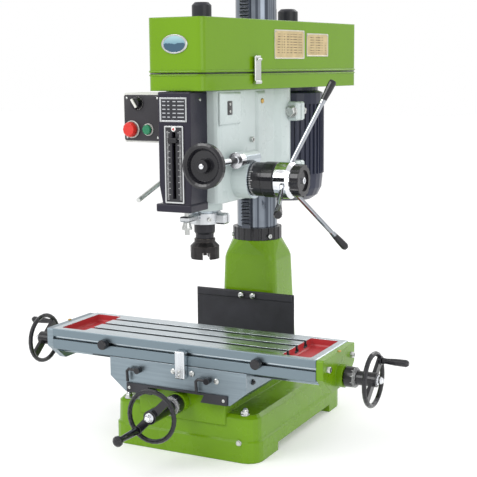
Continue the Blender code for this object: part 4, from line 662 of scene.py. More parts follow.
class MACHINE_OT_finish_metal(bpy.types.Operator):
    """Grind the slides, polish the column and blacken the iron pieces"""

    bl_idname = "bench_mill.finish_metal"
    bl_label = "Finish metal pieces"

    def table(self):
        steel = ground_metal("ground_table", chosen("steel"), "X", 0.26)
        low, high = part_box("table")
        for end in (-1, 1):
            inner, outer = sorted((end * 0.1876, end * 0.2384))
            well = steel.within((inner, low.y + 0.008, high.z - 0.0150),
                (outer, high.y - 0.008, high.z - 0.0004))
            steel.tint(well, chosen("well"), 0.0, 0.4)
        # Inside the T-slots the steel is painted dark: painted shade.
        slot = steel.within((low.x, low.y + 0.01, None), (high.x, high.y - 0.01, high.z - 0.0022), 0.0012)
        slot_painted_shade = steel.times(slot, steel.within((-0.187, None, None), (0.187, None, None)))
        steel.tint(steel.times(slot_painted_shade, 0.75), shade(70, 76, 80), None, 0.45)
        # The front and rear faces are painted darker than the top: painted shade.
        for edge in (steel.below("Y", low.y + 0.006), steel.above("Y", high.y - 0.006)):
            side_face_shade = steel.times(edge, steel.below("Z", high.z - 0.0003, 0.0002))
            steel.tint(side_face_shade, shade(120, 134, 142), None, 0.36)
        dress("table", steel)

    def execute(self, context):
        self.table()
        saddle = ground_metal("ground_saddle", shade(136, 149, 157), "X", 0.38)
        for node in ("saddle", "end_bracket_left"):
            dress(node, saddle)
        # The column's dark colour and its dark vertical streaks are painted reflections of the dark parts
        # round it.
        chrome = plated("column_chrome", shade(122, 129, 138), 0.10)
        reflection_streaks = chrome.noise(160.0, (1.0, 1.0, 0.004), 2.0)
        chrome.tint(chrome.span(reflection_streaks, 0.48, 0.60, 0.0, 0.75), shade(54, 60, 70))
        dress("column_tube", chrome)
        rack = ground_metal("rack_steel", shade(82, 86, 94), "Z", 0.34)
        for node in ("column_rack", "lift_pinion", "pinion_shaft"):
            dress(node, rack)
        aluminium = shade(205, 207, 208)
        for node, name, colour, letters, roughness in (
                ("table_feed_screw", "screw_steel", STEEL_GREY, "YZ", 0.28),
                ("cross_feed_screw", "cross_screw_steel", STEEL_GREY, "XZ", 0.28),
                ("quill", "quill_steel", STEEL_GREY, "XY", 0.22),
                ("spindle_pulley", "pulley_aluminium", aluminium, "XY", 0.34),
                ("motor_pulley", "motor_pulley_aluminium", aluminium, "XY", 0.34),
                ("depth_stop_collar", "collar_aluminium", shade(196, 199, 202), "XY", 0.30)):
            dress(node, turned_metal(name, colour, middle(node), letters, roughness))
        spindle = turned_metal("spindle_steel", STEEL_GREY, middle("spindle"), "XY", 0.24)
        spindle.tint(spindle.below("Z", 0.3812), OXIDE, 0.6, 0.36)
        dress("spindle", spindle)
        zinc = plated("zinc_plate", ZINC_GREY, 0.28)
        for node in ("lift_lever", "latch_left", "latch_right"):
            dress(node, zinc)
        brass = turned_metal("nut_bronze", shade(182, 148, 84), middle("cross_nut"), "XZ", 0.34)
        for node in ("cross_nut", "table_nut"):
            dress(node, brass)
        dress("table_stop_block", ground_metal("stop_block_steel", shade(206, 210, 214), "Z", 0.24))
        self.cutter()
        self.depth_rod()
        return {"FINISHED"}

    def cutter(self):
        cutter = Finish("cutter_black_oxide", shade(46, 44, 44), 0.75, 0.38)
        cutter.mottle(80.0, 0.7, 1.5)
        cutter.rub(0.08, 90.0)
        # Bright along the edges: partly worn oxide, partly a painted highlight.
        cutter.worn_and_highlit_edges(shade(170, 160, 150), 0.0007, 0.8, 1.0, 0.3)
        cutter.grain(300.0, 0.00008, 0.0005)
        dress("face_mill", cutter)

    def depth_rod(self):
        rod = plated("depth_rod_zinc", ZINC_GREY, 0.24)
        thread = rod.sum("FRACT", rod.times(rod.axis("Z"), 800.0))
        rod.tint(rod.times(rod.sum("LESS_THAN", thread, 0.4), 0.6), shade(110, 112, 112))
        rod.tint(rod.below("Y", -0.1775), chosen("black"), 0.0, 0.35)
        dress("depth_rod", rod)


class MACHINE_OT_finish_controls(bpy.types.Operator):
    """Finish the wheels, dials, levers, knobs and switches"""

    bl_idname = "bench_mill.finish_controls"
    bl_label = "Finish controls"

    def dials(self):
        low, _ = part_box("cross_dial")
        dial = black_enamel("cross_dial_black", 0.3)
        dress("cross_dial", graduated(dial, middle("cross_dial"), "XZ", "Y", 50, low.y))
        for node, face in (("table_dial_left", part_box("table_dial_left")[0].x),
                           ("table_dial_right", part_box("table_dial_right")[1].x)):
            dial = black_enamel(node + "_black", 0.3)
            dress(node, graduated(dial, middle(node), "YZ", "X", 50, face))
        low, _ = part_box("feed_dial")
        dial = black_enamel("feed_dial_black", 0.3)
        dress("feed_dial", graduated(dial, middle("feed_dial"), "YZ", "X", 60, low.x))

    def levers(self):
        for number in (1, 2, 3):
            node = f"feed_lever_{number}"
            mesh = NODES[node].data
            axis = middle("pinion_shaft")
            tip = max((v.co for v in mesh.vertices), key=lambda p: math.hypot(p.y - axis.y, p.z - axis.z))
            # The levers' chrome is painted darker than the hub's: a painted reflection.
            lever = plated(f"{node}_chrome", shade(160, 164, 170), 0.08)
            lever.tint(lever.ball(tip, 0.0365), chosen("black"), 0.0, 0.22)
            dress(node, lever)
        hub = plated("hub_chrome", CHROME_GREY, 0.10)
        low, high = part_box("feed_hub")
        hub.tint(hub.below("X", low.x + 0.42 * (high.x - low.x)), chosen("black"), 0.0, 0.24)
        dress("feed_hub", hub)

    def wheels(self):
        wheel = black_enamel("handwheel_black")
        for node in ("cross_handwheel", "table_handwheel_left", "table_handwheel_right"):
            dress(node, wheel)
        iron = black_enamel("small_iron_black", 0.34)
        for node in ("lock_lever_left", "lock_lever_right", "column_ring", "column_top_cap"):
            dress(node, iron)
        grip = moulded("grip_plastic", chosen("black"), 0.22)
        for node in ("cross_grip", "table_grip_left", "table_grip_right", "table_stop_left",
                     "table_stop_right",
                     "speed_switch", "feed_lock_knob"):
            dress(node, grip)
        fine = moulded("fine_feed_plastic", chosen("black"), 0.24)
        fine.tint(fine.above("Y", -0.1880), CHROME_GREY, 1.0, 0.16)
        collar = fine.within((None, -0.128, None), (None, -0.106, None))
        fine.tint(collar, shade(48, 48, 52), 0.6, 0.4)
        dress("fine_feed_wheel", fine)

    def execute(self, context):
        self.dials()
        self.levers()
        self.wheels()
        dress("stop_button", moulded("stop_red", shade(200, 42, 34), 0.25))
        dress("start_button", moulded("start_green", shade(30, 122, 84), 0.28))
        dress("control_box", moulded("control_shell", chosen("shell"), 0.42, 500.0, 0.0001))
        rubber = rubber_sheet("sheet_rubber")
        for node in ("chip_guard", "saddle_wiper", "drive_belt"):
            dress(node, rubber)
        self.scale()
        return {"FINISHED"}

    def scale(self):
        low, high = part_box("depth_scale")
        plate = Finish("depth_scale_plate", shade(205, 207, 208), 1.0, 0.32)
        plate.rub(0.05, 120.0)
        plate.grain(400.0, 0.00003, 0.0004)
        field = plate.within((low.x + 0.0022, None, low.z + 0.0022), (high.x - 0.0022, None, high.z - 0.0022),
            0.0001)
        plate.tint(field, shade(28, 28, 34), 0.0, 0.4)
        across = plate.sum("ABSOLUTE", plate.axis("X"))
        for pitch, start in ((0.002, 0.0100), (0.010, 0.0070)):
            lines = plate.ticks(plate.axis("Z"), 1 / pitch, 0.00042 / pitch)
            reach = plate.within((None, None, low.z + 0.006), (None, None, high.z - 0.008), 0.0001)
            side = plate.times(plate.span(across, start, start + 0.0001),
                plate.span(across, 0.0132, 0.0133, 1.0, 0.0))
            plate.tint(plate.times(plate.times(lines, side), reach), shade(225, 226, 226), 0.0, 0.5)
        dress("depth_scale", plate)


# ---------------------------------------------------------------- fasteners and plates
class MACHINE_OT_fit_base_bolts(bpy.types.Operator):
    """Fit the domed nuts, the foot bolts and the drain plug"""

    bl_idname = "bench_mill.fit_base_bolts"
    bl_label = "Fit base bolts"

    def execute(self, context):
        steel = plated("bolt_zinc", ZINC_GREY, 0.26)
        width = fasteners().bolt_width
        nuts = ((0.112, -0.160, 0.2), (-0.112, -0.160, 0.5), (0.112, 0.165, 0.9), (-0.112, 0.165, 0.1))
        settle_all("base_nut", (
            acorn_head(width, surface("base_casting", (x, y, 0.5), DOWN)[0], UP, spin)
            for x, y, spin in nuts), "base", steel)
        bolts = ((0.068, 0.070), (-0.068, 0.070), (0.068, 0.179), (-0.068, 0.179))
        settle_all("foot_bolt", (
            hex_head(width * 0.75, 0.0065, surface("column_foot", (x, y, 0.5), DOWN)[0], UP, 0.3 * i)
            for i, (x, y) in enumerate(bolts)), "base", steel)
        spot, facing = surface("base_casting", (0.108, -1, 0.034), REAR)
        settle(hex_head(0.007, 0.003, spot, facing, 0.2), "drain_plug", "base", steel)
        centre = middle("column_ring")
        for number, degrees in enumerate((-35, 95, 215)):
            angle = math.radians(degrees)
            out = Vector((math.cos(angle), math.sin(angle), 0))
            spot, _ = surface("column_ring", centre + Vector((0, 0, -0.004)) + out * 0.2, -out)
            settle(cap_screw(fasteners().cap_screw * 0.8, 0.004, spot, out), f"ring_screw_{number + 1}",
                   "base", steel)
        return {"FINISHED"}


class MACHINE_OT_fit_slide_hardware(bpy.types.Operator):
    """Fit the gib screws, the rear wiper and the small screws of the saddle and the table"""

    bl_idname = "bench_mill.fit_slide_hardware"
    bl_label = "Fit slide hardware"

    def saddle(self, zinc, black):
        spots = ((-0.0045, 0.1465), (0.0305, 0.1465), (0.0765, 0.1390))
        settle_all("saddle_screw", (
            round_screw(0.0105, 0.0040, *surface("saddle", (x, -1, z), REAR), 0.7 * i)
            for i, (x, z) in enumerate(spots)), "saddle_slide", zinc)
        for side, name in ((1, "right"), (-1, "left")):
            for number, y in enumerate((-0.166, -0.120, -0.075)):
                spot, facing = surface("saddle", (side, y, 0.138), (-side, 0, 0))
                piece = fused([hex_head(0.009, 0.0024, (0, 0, 0), UP, 0.4 * number, False),
                               turned([(0.0026, 0.0018), (0.0026, 0.0040), (0.0020, 0.0045)], 16)])
                settle(stand(piece, spot, facing), f"gib_screw_{name}_{number + 1}", "saddle_slide", black)
        settle_all("wiper_screw", (
            round_screw(0.006, 0.0022, *surface("saddle_wiper", (x, -1, 0.1085), REAR), 0.5 * i)
            for i, x in enumerate((-0.090, 0.090))), "saddle_slide", zinc)
        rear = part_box("saddle")[1].y
        strip = plate(0.186, 0.014, 0.003, (0, rear + 0.0003, 0.1080), REAR)
        settle(strip, "rear_wiper", "saddle_slide", rubber_sheet("rear_wiper_rubber"))

    def table(self, zinc, brass):
        width = fasteners().cap_screw
        for side, name in ((1, "right"), (-1, "left")):
            node = f"end_bracket_{name}"
            settle_all(f"bracket_screw_{name}", (
                cap_screw(width, 0.006, *surface(node, (side, y, 0.176), (-side, 0, 0)))
                for y in (-0.171, -0.0705)), "table_slide", zinc)
            spot, _ = surface(node, (side * 0.262, -0.1207, 0.5), DOWN)
            oiler = turned([(0.0032, -0.0005), (0.0032, 0.001), (0.0024, 0.0018), (0.0010, 0.0019)], 20, spot)
            settle(oiler, f"oil_cup_{name}", "table_slide", brass)
        settle_all("stop_block_screw", (
            round_screw(0.0052, 0.002, *surface("table_stop_block", (0.013, -1, z), REAR), 0.9)
            for z in (0.1435, 0.1505)), "saddle_slide", zinc)

    def execute(self, context):
        zinc = plated("slide_screw_zinc", ZINC_GREY, 0.24)
        black = black_enamel("slide_screw_black", 0.36)
        brass = turned_metal("oil_cup_brass", shade(196, 160, 92), (0, 0, 0), "XY", 0.3)
        self.saddle(zinc, black)
        self.table(zinc, brass)
        return {"FINISHED"}


class MACHINE_OT_fit_wheel_nuts(bpy.types.Operator):
    """Fit the nuts that hold the handwheels"""

    bl_idname = "bench_mill.fit_wheel_nuts"
    bl_label = "Fit wheel nuts"

    def execute(self, context):
        chrome = plated("wheel_nut_chrome", CHROME_GREY, 0.14)
        axis = middle("cross_feed_screw")
        spot, _ = surface("cross_handwheel", (0.0075, -1, axis.z), REAR)
        settle(acorn_head(0.011, (0, spot.y, axis.z), FRONT), "cross_wheel_nut", "cross_screw", chrome)
        axis = middle("table_feed_screw")
        for side, name in ((1, "right"), (-1, "left")):
            spot, _ = surface(f"table_handwheel_{name}", (side, axis.y, axis.z - 0.0075), (-side, 0, 0))
            settle(acorn_head(0.011, (spot.x, axis.y, axis.z), (side, 0, 0)), f"table_wheel_nut_{name}",
                   "table_screw", chrome)
        spot, _ = surface("fine_feed_wheel", (0.070, -1, 0.491), REAR)
        settle(round_screw(0.009, 0.0035, spot, FRONT, 0.4), "fine_wheel_screw", "fine_feed", chrome)
        spot, _ = surface("feed_lock_knob", (1, FEED_Y, FEED_Z), LEFT)
        settle(cap_screw(0.011, 0.004, spot, RIGHT), "lock_knob_screw", "feed_knob", chrome)
        return {"FINISHED"}


class MACHINE_OT_fit_head_hardware(bpy.types.Operator):
    """Fit the clamp bolts, the plates and the covers of the head"""

    bl_idname = "bench_mill.fit_head_hardware"
    bl_label = "Fit head hardware"

    def clamps(self, zinc):
        width = fasteners().clamp_width
        for number, z in enumerate(CLAMP_HEIGHTS):
            settle(hex_head(width, 0.009, (0.069, COLUMN_Y + 0.004, z), FRONT, 0.26),
                   f"clamp_bolt_{number + 1}", "head", zinc)
            settle(hex_head(width, 0.012, (0.069, COLUMN_Y + 0.040, z), REAR, 0.1), f"clamp_nut_{number + 1}",
                   "head", zinc)

    def panel(self, zinc):
        frame_metal = Finish("label_frame_metal", shade(196, 198, 200), 1.0, 0.30)
        frame_metal.rub(0.06, 90.0)
        frame_metal.grain(400.0, 0.00003, 0.0004)
        field = Finish("label_field", shade(30, 30, 38), 0.0, 0.4)
        field.mottle(60.0, 0.8, 1.25)
        rows = field.ticks(field.axis("Z"), 1 / 0.0062, 0.26)
        blocks = field.span(field.noise(230.0, (1.0, 1.0, 0.02), 0.0), 0.47, 0.49)
        inside = field.within((-0.021, None, 0.5605), (0.019, None, 0.5925), 0.0002)
        field.tint(field.times(field.times(rows, blocks), inside), shade(170, 172, 176), 0.0, 0.5)
        field.grain(300.0, 0.00002)
        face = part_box("depth_scale")[1].y + 0.0003
        label = plate(0.050, 0.039, 0.0012, (-0.001, face, 0.5768), FRONT, 0.0022, 0.0004,
                      (frame_metal, field))
        settle(label, "front_label", "head", frame_metal)
        corners = ((-0.0237, 0.5590), (0.0217, 0.5590), (-0.0237, 0.5946), (0.0217, 0.5946))
        settle_all("label_rivet", (
            round_screw(0.0024, 0.0010, (x, face - 0.0011, z), FRONT, i)
            for i, (x, z) in enumerate(corners)), "head", zinc)
        settle_all("cover_screw", (
            round_screw(0.0055, 0.0022, *surface("front_panel", (1, -0.150, z), LEFT), i)
            for i, z in enumerate((0.592, 0.520, 0.458))), "head", zinc)

    def emblem(self):
        pale = moulded("emblem_white", shade(226, 226, 222), 0.3)
        red = moulded("emblem_red", shade(178, 40, 44), 0.3)
        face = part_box("depth_scale")[0].y
        disc = turned([(0.0042, -0.0002), (0.0042, 0.0005), (0.0040, 0.0007)], 28, (0, face, 0.5462), FRONT)
        settle(disc, "scale_emblem", "head", pale)
        mark = turned([(0.0031, 0.0003), (0.0031, 0.0009), (0.0028, 0.0011)], 3, (0, face, 0.5458), FRONT,
                      math.pi / 2)
        settle(mark, "scale_emblem_mark", "head", red)

    def pad(self, name, low, high, thick, slope):
        """A raised part of the casting's side with sloping edges. Low and high are its (y, z) corners."""
        width, height = high[0] - low[0], high[1] - low[1]
        spot, facing = surface("head_casting", (1, (low[0] + high[0]) / 2, (low[1] + high[1]) / 2), LEFT)
        raised = beam((0, 0, thick / 2 - 0.0004), (width, height, thick + 0.0008))
        open_mesh(raised)
        pick_faces(raised, lambda face: face.normal.z > 0.9)
        bpy.ops.transform.resize(value=(1 - 2 * slope / width, 1 - 2 * slope / height, 1),
            center_override=(0, 0, thick))
        close_mesh(raised)
        bevelled(raised, 0.0008)
        raised.data.materials.append(NODES["head_casting"].data.materials[0])
        settle(stand(raised, spot, facing), name, "head", None)

    def side(self, zinc, black):
        for number, z in enumerate((0.583, 0.571)):
            spot, facing = surface("head_casting", (1, -0.094, z), LEFT)
            spot += facing * PAD_RISE
            settle(round_screw(0.0052, 0.002, spot, facing, 0.6), f"side_plate_screw_{number + 1}", "head",
                   zinc)
        spot, facing = surface("head_casting", (1, -0.094, 0.577), LEFT)
        settle(plate(0.017, 0.023, 0.0008, spot + facing * PAD_RISE, facing, rounding=0.002), "side_plate",
               "head", black)
        cap = turned([(0.0245, -0.0005), (0.0245, 0.006), (0.0232, 0.0075), (0.0110, 0.0075),
                      (0.0100, 0.0085), (0.0070, 0.0085)], 40)
        settle(stand(cap, (-0.0650, FEED_Y, FEED_Z), LEFT), "return_spring_cover", "head", black)
        settle(hex_head(0.012, 0.006, (-0.0734, FEED_Y, FEED_Z), LEFT), "return_spring_nut", "head", zinc)
        spot, facing = surface("head_casting", (1, -0.01, 0.520), LEFT)
        settle(cap_screw(0.010, 0.006, spot, facing), "head_lock_screw", "head", zinc)
        spot, facing = surface("head_casting", (1, 0.028, 0.585), LEFT)
        spot += facing * PAD_RISE
        oiler = turned([(0.0045, -0.0005), (0.0045, 0.0014), (0.0036, 0.0026), (0.0014, 0.0030)], 20, spot,
                       facing)
        settle(oiler, "head_oil_cup", "head", turned_metal("head_oil_brass", shade(196, 160, 92), spot, "YZ",
            0.3))
        spot, facing = surface("depth_stop_collar", (1, -0.1055, 0.3905), LEFT)
        settle(cap_screw(0.0075, 0.005, spot, facing), "collar_screw", "quill_slide", zinc)

    def execute(self, context):
        zinc = plated("head_screw_zinc", ZINC_GREY, 0.24)
        black = black_enamel("head_cover_black", 0.34)
        self.clamps(zinc)
        self.panel(zinc)
        self.emblem()
        self.pad("casting_pad", (-0.1238, 0.5480), (-0.0480, 0.6035), PAD_RISE, 0.0040)
        self.pad("casting_pilaster", (0.0080, 0.4250), (0.0480, 0.6035), PAD_RISE, 0.0060)
        self.side(zinc, black)
        return {"FINISHED"}


class MACHINE_OT_fit_control_face(bpy.types.Operator):
    """Fit the dark face of the control box, the switch bar and the button rings"""

    bl_idname = "bench_mill.fit_control_face"
    bl_label = "Fit control face"

    def execute(self, context):
        low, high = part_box("control_box")
        face = moulded("control_face_plastic", shade(38, 36, 42), 0.36)
        x, z = (low.x + high.x) / 2, (low.z + high.z) / 2
        buttons = ((-0.112, 0.541, 0.0133, "stop"), (-0.080, 0.541, 0.0088, "start"))
        cover = plate(high.x - low.x - 0.006, high.z - low.z - 0.006, 0.0012, (x, low.y, z), FRONT,
                      rounding=0.004)
        holes = []
        for hx, hz, r, _ in ((-0.101, 0.585, 0.0112, "switch"), *buttons):
            hole = turned([(r, -0.01), (r, 0.01)], 32, (hx, low.y, hz), FRONT)
            holes.append(hole)
        settle(cut_away(cover, *holes), "control_face", "head", face)
        pale = moulded("ring_plastic", shade(214, 214, 208), 0.32)
        for hx, hz, inner, name in buttons:
            r = inner + 0.0014
            ring = turned([(r, -0.0008), (r, 0.0012), (r - 0.0005, 0.0018)], 36)
            hole = turned([(inner, -0.01), (inner, 0.01)], 36)
            ring = stand(cut_away(ring, hole), (hx, low.y - 0.0012, hz), FRONT)
            settle(ring, f"{name}_button_ring", "head", pale)
        bar = plate(0.0042, 0.017, 0.0030, (-0.101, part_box("speed_switch")[0].y, 0.585), FRONT,
                    rounding=0.0016, spin=0.6)
        settle(bar, "switch_bar", "speed_switch_body", pale)
        zinc = plated("control_screw_zinc", ZINC_GREY, 0.24)
        settle_all("control_screw", (
            round_screw(0.0042, 0.0014, (x + a * 0.0300, low.y - 0.0011, z + b * 0.0330), FRONT, i)
            for i, (a, b) in enumerate(CORNERS)), "head", zinc)
        return {"FINISHED"}


class MACHINE_OT_fit_guard_plates(bpy.types.Operator):
    """Fit the badge and the side plates of the belt guard"""

    bl_idname = "bench_mill.fit_guard_plates"
    bl_label = "Fit guard plates"

    def badge(self, zinc):
        face = Finish("badge_enamel", chosen("badge"), 0.0, 0.25, Coat_Weight=0.6)
        z = 0.6805
        sky = face.span(face.axis("Z"), z - 0.006, z + 0.012)
        face.tint(sky, shade(150, 186, 190))
        hills = face.sum("ADD", face.axis("Z"), face.times(face.noise(50.0, (1, 1, 0.01)), 0.02))
        face.tint(face.span(hills, z + 0.0098, z + 0.0102, 1.0, 0.0), shade(34, 74, 96))
        face.grain(300.0, 0.00002)
        spot, facing = surface("belt_guard_lid", (0, -1, z), REAR)
        oval = turned([(0.5, -0.001), (0.5, 0.0012), (0.48, 0.0020)], 64)
        drive(oval, 0.0020, 0.055, 0.0006)
        only(oval)
        oval.scale = (0.048, 0.031, 1.0)
        bpy.ops.object.transform_apply(location=False, rotation=False, scale=True)
        for finish in (zinc, face):
            oval.data.materials.append(finish.material)
        open_mesh(oval)
        pick_faces(oval, lambda f: f.normal.z > 0.9 and math.hypot(f.calc_center_median().x / 0.048,
            f.calc_center_median().y / 0.031) < 0.05)
        oval.active_material_index = 1
        bpy.ops.object.material_slot_assign()
        close_mesh(oval)
        settle(stand(oval, spot, facing), "guard_badge", "guard_lid", zinc)

    def side_plate(self, name, y, width, height):
        tan = Finish(name + "_field", chosen("plate"), 0.35, 0.42)
        tan.mottle(70.0, 0.85, 1.1)
        spot, facing = surface("belt_guard_lid", (1, y, 0.682), LEFT)
        rows = tan.ticks(tan.axis("Z"), 1 / 0.0046, 0.30)
        words = tan.span(tan.noise(260.0, (1.0, 1.0, 0.02), 0.0), 0.46, 0.48)
        inside = tan.within((None, y - width * 0.40, spot.z - height * 0.36),
            (None, y + width * 0.40, spot.z + height * 0.36), 0.0002)
        tan.tint(tan.times(tan.times(rows, words), inside), shade(96, 78, 48), 0.0, 0.5)
        tan.grain(400.0, 0.00003)
        rim = plated(name + "_rim", shade(210, 206, 190), 0.3)
        piece = plate(width, height, 0.0011, spot, facing, 0.0016, 0.0003, (rim, tan), rounding=0.002)
        settle(piece, name, "guard_lid", rim)
        zinc = plated(name + "_rivets", ZINC_GREY, 0.24)
        across = Vector((-facing.y, facing.x, 0)).normalized()
        for number, (a, b) in enumerate(CORNERS):
            at = spot + across * a * (width / 2 - 0.0036) + UP * b * (height / 2 - 0.0036) + facing * 0.0008
            settle(round_screw(0.0026, 0.0009, at, facing, number), f"{name}_rivet_{number + 1}", "guard_lid",
                   zinc)

    def bead(self, name, body, height, thick, slot):
        """A rolled edge that follows the guard's outline at a height."""
        source = NODES[name]
        loop = bpy.data.objects.new("bead", source.data.copy())
        bpy.context.scene.collection.objects.link(loop)
        open_mesh(loop, "VERT")
        bpy.ops.mesh.select_all(action="SELECT")
        bpy.ops.mesh.remove_doubles(threshold=0.00001)
        bpy.ops.mesh.select_all(action="SELECT")
        bpy.ops.mesh.bisect(plane_co=(0, 0, height), plane_no=(0, 0, 1), clear_inner=True, clear_outer=True)
        bpy.ops.mesh.select_all(action="SELECT")
        bpy.ops.mesh.dissolve_limited(angle_limit=0.02)
        mesh = bmesh.from_edit_mesh(loop.data)
        outer = self.outer_loop(mesh)
        for vert in mesh.verts:
            vert.select_set(vert not in outer)
        bmesh.update_edit_mesh(loop.data)
        bpy.ops.mesh.delete(type="VERT")
        bpy.ops.object.mode_set(mode="OBJECT")
        only(loop)
        bpy.ops.object.convert(target="CURVE")
        loop.data.bevel_depth = thick
        loop.data.bevel_resolution = 3
        bpy.ops.object.convert(target="MESH")
        open_mesh(loop)
        bpy.ops.mesh.select_all(action="SELECT")
        bpy.ops.mesh.bisect(plane_co=(0, CAD_BOX[1][1] - 0.0001, 0), plane_no=(0, 1, 0), clear_outer=True,
            use_fill=True)
        close_mesh(loop)
        loop.data.materials.clear()
        loop.data.materials.append(source.data.materials[0])
        settle(loop, name + "_bead", body, None)

    def outer_loop(self, mesh):
        """The vertices joined to the one furthest out."""
        mesh.verts.ensure_lookup_table()
        start = max(mesh.verts, key=lambda vert: vert.co.y)
        found, waiting = {start}, [start]
        while waiting:
            for edge in waiting.pop().link_edges:
                for vert in edge.verts:
                    if vert not in found:
                        found.add(vert)
                        waiting.append(vert)
        return found

    def execute(self, context):
        self.bead("belt_guard_lid", "guard_lid", SEAM_BEAD_HEIGHTS[0], 0.0017, "green_paint")
        self.bead("belt_guard_tray", "head", SEAM_BEAD_HEIGHTS[1], 0.0013, "green_paint")
        self.badge(plated("badge_rim", ZINC_GREY, 0.22))
        self.side_plate("speed_plate", 0.078, 0.098, 0.050)
        self.side_plate("care_plate", 0.172, 0.076, 0.041)
        return {"FINISHED"}


class MACHINE_OT_fit_motor_cover(bpy.types.Operator):
    """Fit the cooling fins, the terminal box and its screws on the motor"""

    bl_idname = "bench_mill.fit_motor_cover"
    bl_label = "Fit motor cover"

    def execute(self, context):
        low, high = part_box("motor")
        centre, radius = (low + high) / 2, (high.x - low.x) / 2
        paint = cast_enamel("motor_fin_enamel", shade(42, 46, 64), 0.34, 0.4)
        fin = bevelled(beam((radius + 0.0008, 0, 0.505), (0.0034, 0.0026, 0.135)), 0.0008)
        fins = [fin]
        for turn in range(1, 40):
            copy = fin.copy()
            copy.data = fin.data.copy()
            bpy.context.scene.collection.objects.link(copy)
            copy.matrix_world = Matrix.Rotation(math.tau * turn / 40, 4, "Z")
            fins.append(copy)
        ribs = fused(fins)
        settle(stand(ribs, (centre.x, centre.y, 0)), "motor_fins", "head", paint)
        box = plate(0.052, 0.062, 0.026, (-radius + 0.004, centre.y, 0.520), LEFT, rounding=0.005)
        settle(box, "terminal_box", "head", paint)
        zinc = plated("motor_screw_zinc", ZINC_GREY, 0.24)
        settle_all("terminal_screw", (
            round_screw(0.0045, 0.0016, (-radius - 0.022, centre.y + a * 0.020, 0.520 + b * 0.025), LEFT, i)
            for i, (a, b) in enumerate(CORNERS)), "head", zinc)
        return {"FINISHED"}


class MACHINE_OT_fit_sheet_screws(bpy.types.Operator):
    """Fit the screws that hold the rubber sheet"""

    bl_idname = "bench_mill.fit_sheet_screws"
    bl_label = "Fit sheet screws"

    def execute(self, context):
        zinc = plated("sheet_screw_zinc", ZINC_GREY, 0.22)
        settle_all("sheet_screw", (
            round_screw(0.0112, 0.003, *surface("chip_guard", (x, -1, 0.2280), REAR), 0.8 * i)
            for i, x in enumerate((-0.004, 0.020))), "base", zinc)
        return {"FINISHED"}


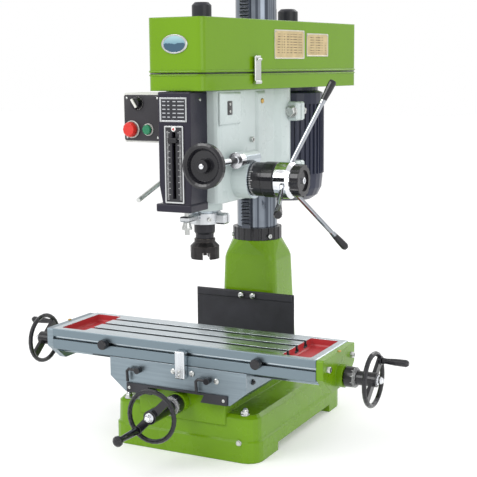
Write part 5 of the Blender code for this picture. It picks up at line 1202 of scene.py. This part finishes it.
class MACHINE_OT_set_stage(bpy.types.Operator):
    """Lay the floor, set the lights and place the camera"""

    bl_idname = "bench_mill.set_stage"
    bl_label = "Set stage"

    def floor(self):
        bpy.ops.object.select_all(action="DESELECT")
        bpy.ops.mesh.primitive_grid_add(x_subdivisions=4, y_subdivisions=4, size=24, location=(0, 0, -0.0004))
        floor = bpy.context.object
        bpy.ops.object.transform_apply(location=True, rotation=True, scale=True)
        floor.name = "floor"
        pale = Finish("floor_pale", (0.80, 0.80, 0.80), 0.0, 0.6, Emission_Color=(1, 1, 1, 1),
                      Emission_Strength=0.20)
        pale.mottle(1.2, 0.985, 1.01)
        floor.data.materials.append(pale.material)

    def camera(self, stage):
        turn, rise = stage.turn, stage.height_angle
        back = Vector((math.sin(turn) * math.cos(rise), -math.cos(turn) * math.cos(rise), math.sin(rise)))
        target = Vector((-0.04, COLUMN_Y, 0.322))
        bpy.ops.object.camera_add(location=target + back * stage.distance)
        camera = bpy.context.object
        camera.rotation_euler = ((-back).to_track_quat("-Z", "Y").to_matrix() @ Matrix.Rotation(stage.roll, 3,
            "Z")).to_euler()
        camera.data.lens = stage.lens
        camera.data.sensor_width = 36
        camera.data.clip_end = 60
        bpy.context.scene.camera = camera

    def light(self, name, place, target, size, power):
        bpy.ops.object.light_add(type="AREA", location=place)
        lamp = bpy.context.object
        lamp.name = name
        lamp.data.energy = power
        lamp.data.size = size
        lamp.rotation_euler = (Vector(target) - Vector(place)).to_track_quat("-Z", "Y").to_euler()

    def execute(self, context):
        stage = context.scene.bench_mill_stage
        self.floor()
        self.camera(stage)
        world = bpy.data.worlds.new("pale_room")
        world.use_nodes = True
        world.node_tree.nodes["Background"].inputs["Color"].default_value = (1.0, 1.0, 1.0, 1.0)
        world.node_tree.nodes["Background"].inputs["Strength"].default_value = stage.sky
        context.scene.world = world
        self.light("key_light", (-1.3, -2.2, 2.3), (0, 0, 0.35), 1.6, stage.key)
        self.light("fill_light", (2.4, -1.2, 1.2), (0, 0, 0.35), 1.8, stage.key * 0.35)
        self.light("back_light", (0.6, 2.4, 2.0), (0, 0, 0.45), 1.6, stage.key * 0.4)
        context.scene.view_settings.view_transform = "Standard"
        return {"FINISHED"}


# ---------------------------------------------------------------- panel and running order
OPERATORS = (
    MACHINE_OT_paint_castings,
    MACHINE_OT_finish_metal,
    MACHINE_OT_finish_controls,
    MACHINE_OT_fit_base_bolts,
    MACHINE_OT_fit_slide_hardware,
    MACHINE_OT_fit_wheel_nuts,
    MACHINE_OT_fit_head_hardware,
    MACHINE_OT_fit_control_face,
    MACHINE_OT_fit_guard_plates,
    MACHINE_OT_fit_motor_cover,
    MACHINE_OT_fit_sheet_screws,
    MACHINE_OT_set_stage,
)


class MACHINE_PT_finishing(bpy.types.Panel):
    """Sizes, colours and steps of the bench mill"""

    bl_label = "Bench Mill"
    bl_idname = "MACHINE_PT_finishing"
    bl_space_type = "VIEW_3D"
    bl_region_type = "UI"
    bl_category = "Bench Mill"

    def draw(self, context):
        for group in (context.scene.bench_mill_colours, context.scene.bench_mill_fasteners,
                      context.scene.bench_mill_stage):
            box = self.layout.box()
            for name in group.__annotations__:
                box.prop(group, name)
        for operator in OPERATORS:
            self.layout.operator(operator.bl_idname)


GROUPS = (BenchMillColours, BenchMillFasteners, BenchMillStage)


def register():
    for kind in (*GROUPS, *OPERATORS, MACHINE_PT_finishing):
        bpy.utils.register_class(kind)
    bpy.types.Scene.bench_mill_colours = bpy.props.PointerProperty(type=BenchMillColours)
    bpy.types.Scene.bench_mill_fasteners = bpy.props.PointerProperty(type=BenchMillFasteners)
    bpy.types.Scene.bench_mill_stage = bpy.props.PointerProperty(type=BenchMillStage)


def unregister():
    del bpy.types.Scene.bench_mill_stage
    del bpy.types.Scene.bench_mill_fasteners
    del bpy.types.Scene.bench_mill_colours
    for kind in reversed((*GROUPS, *OPERATORS, MACHINE_PT_finishing)):
        bpy.utils.unregister_class(kind)


def main():
    register()
    bpy.ops.object.select_all(action="DESELECT")
    for operator in OPERATORS:
        category, name = operator.bl_idname.split(".")
        getattr(getattr(bpy.ops, category), name)()


if __name__ == "__main__":
    main()
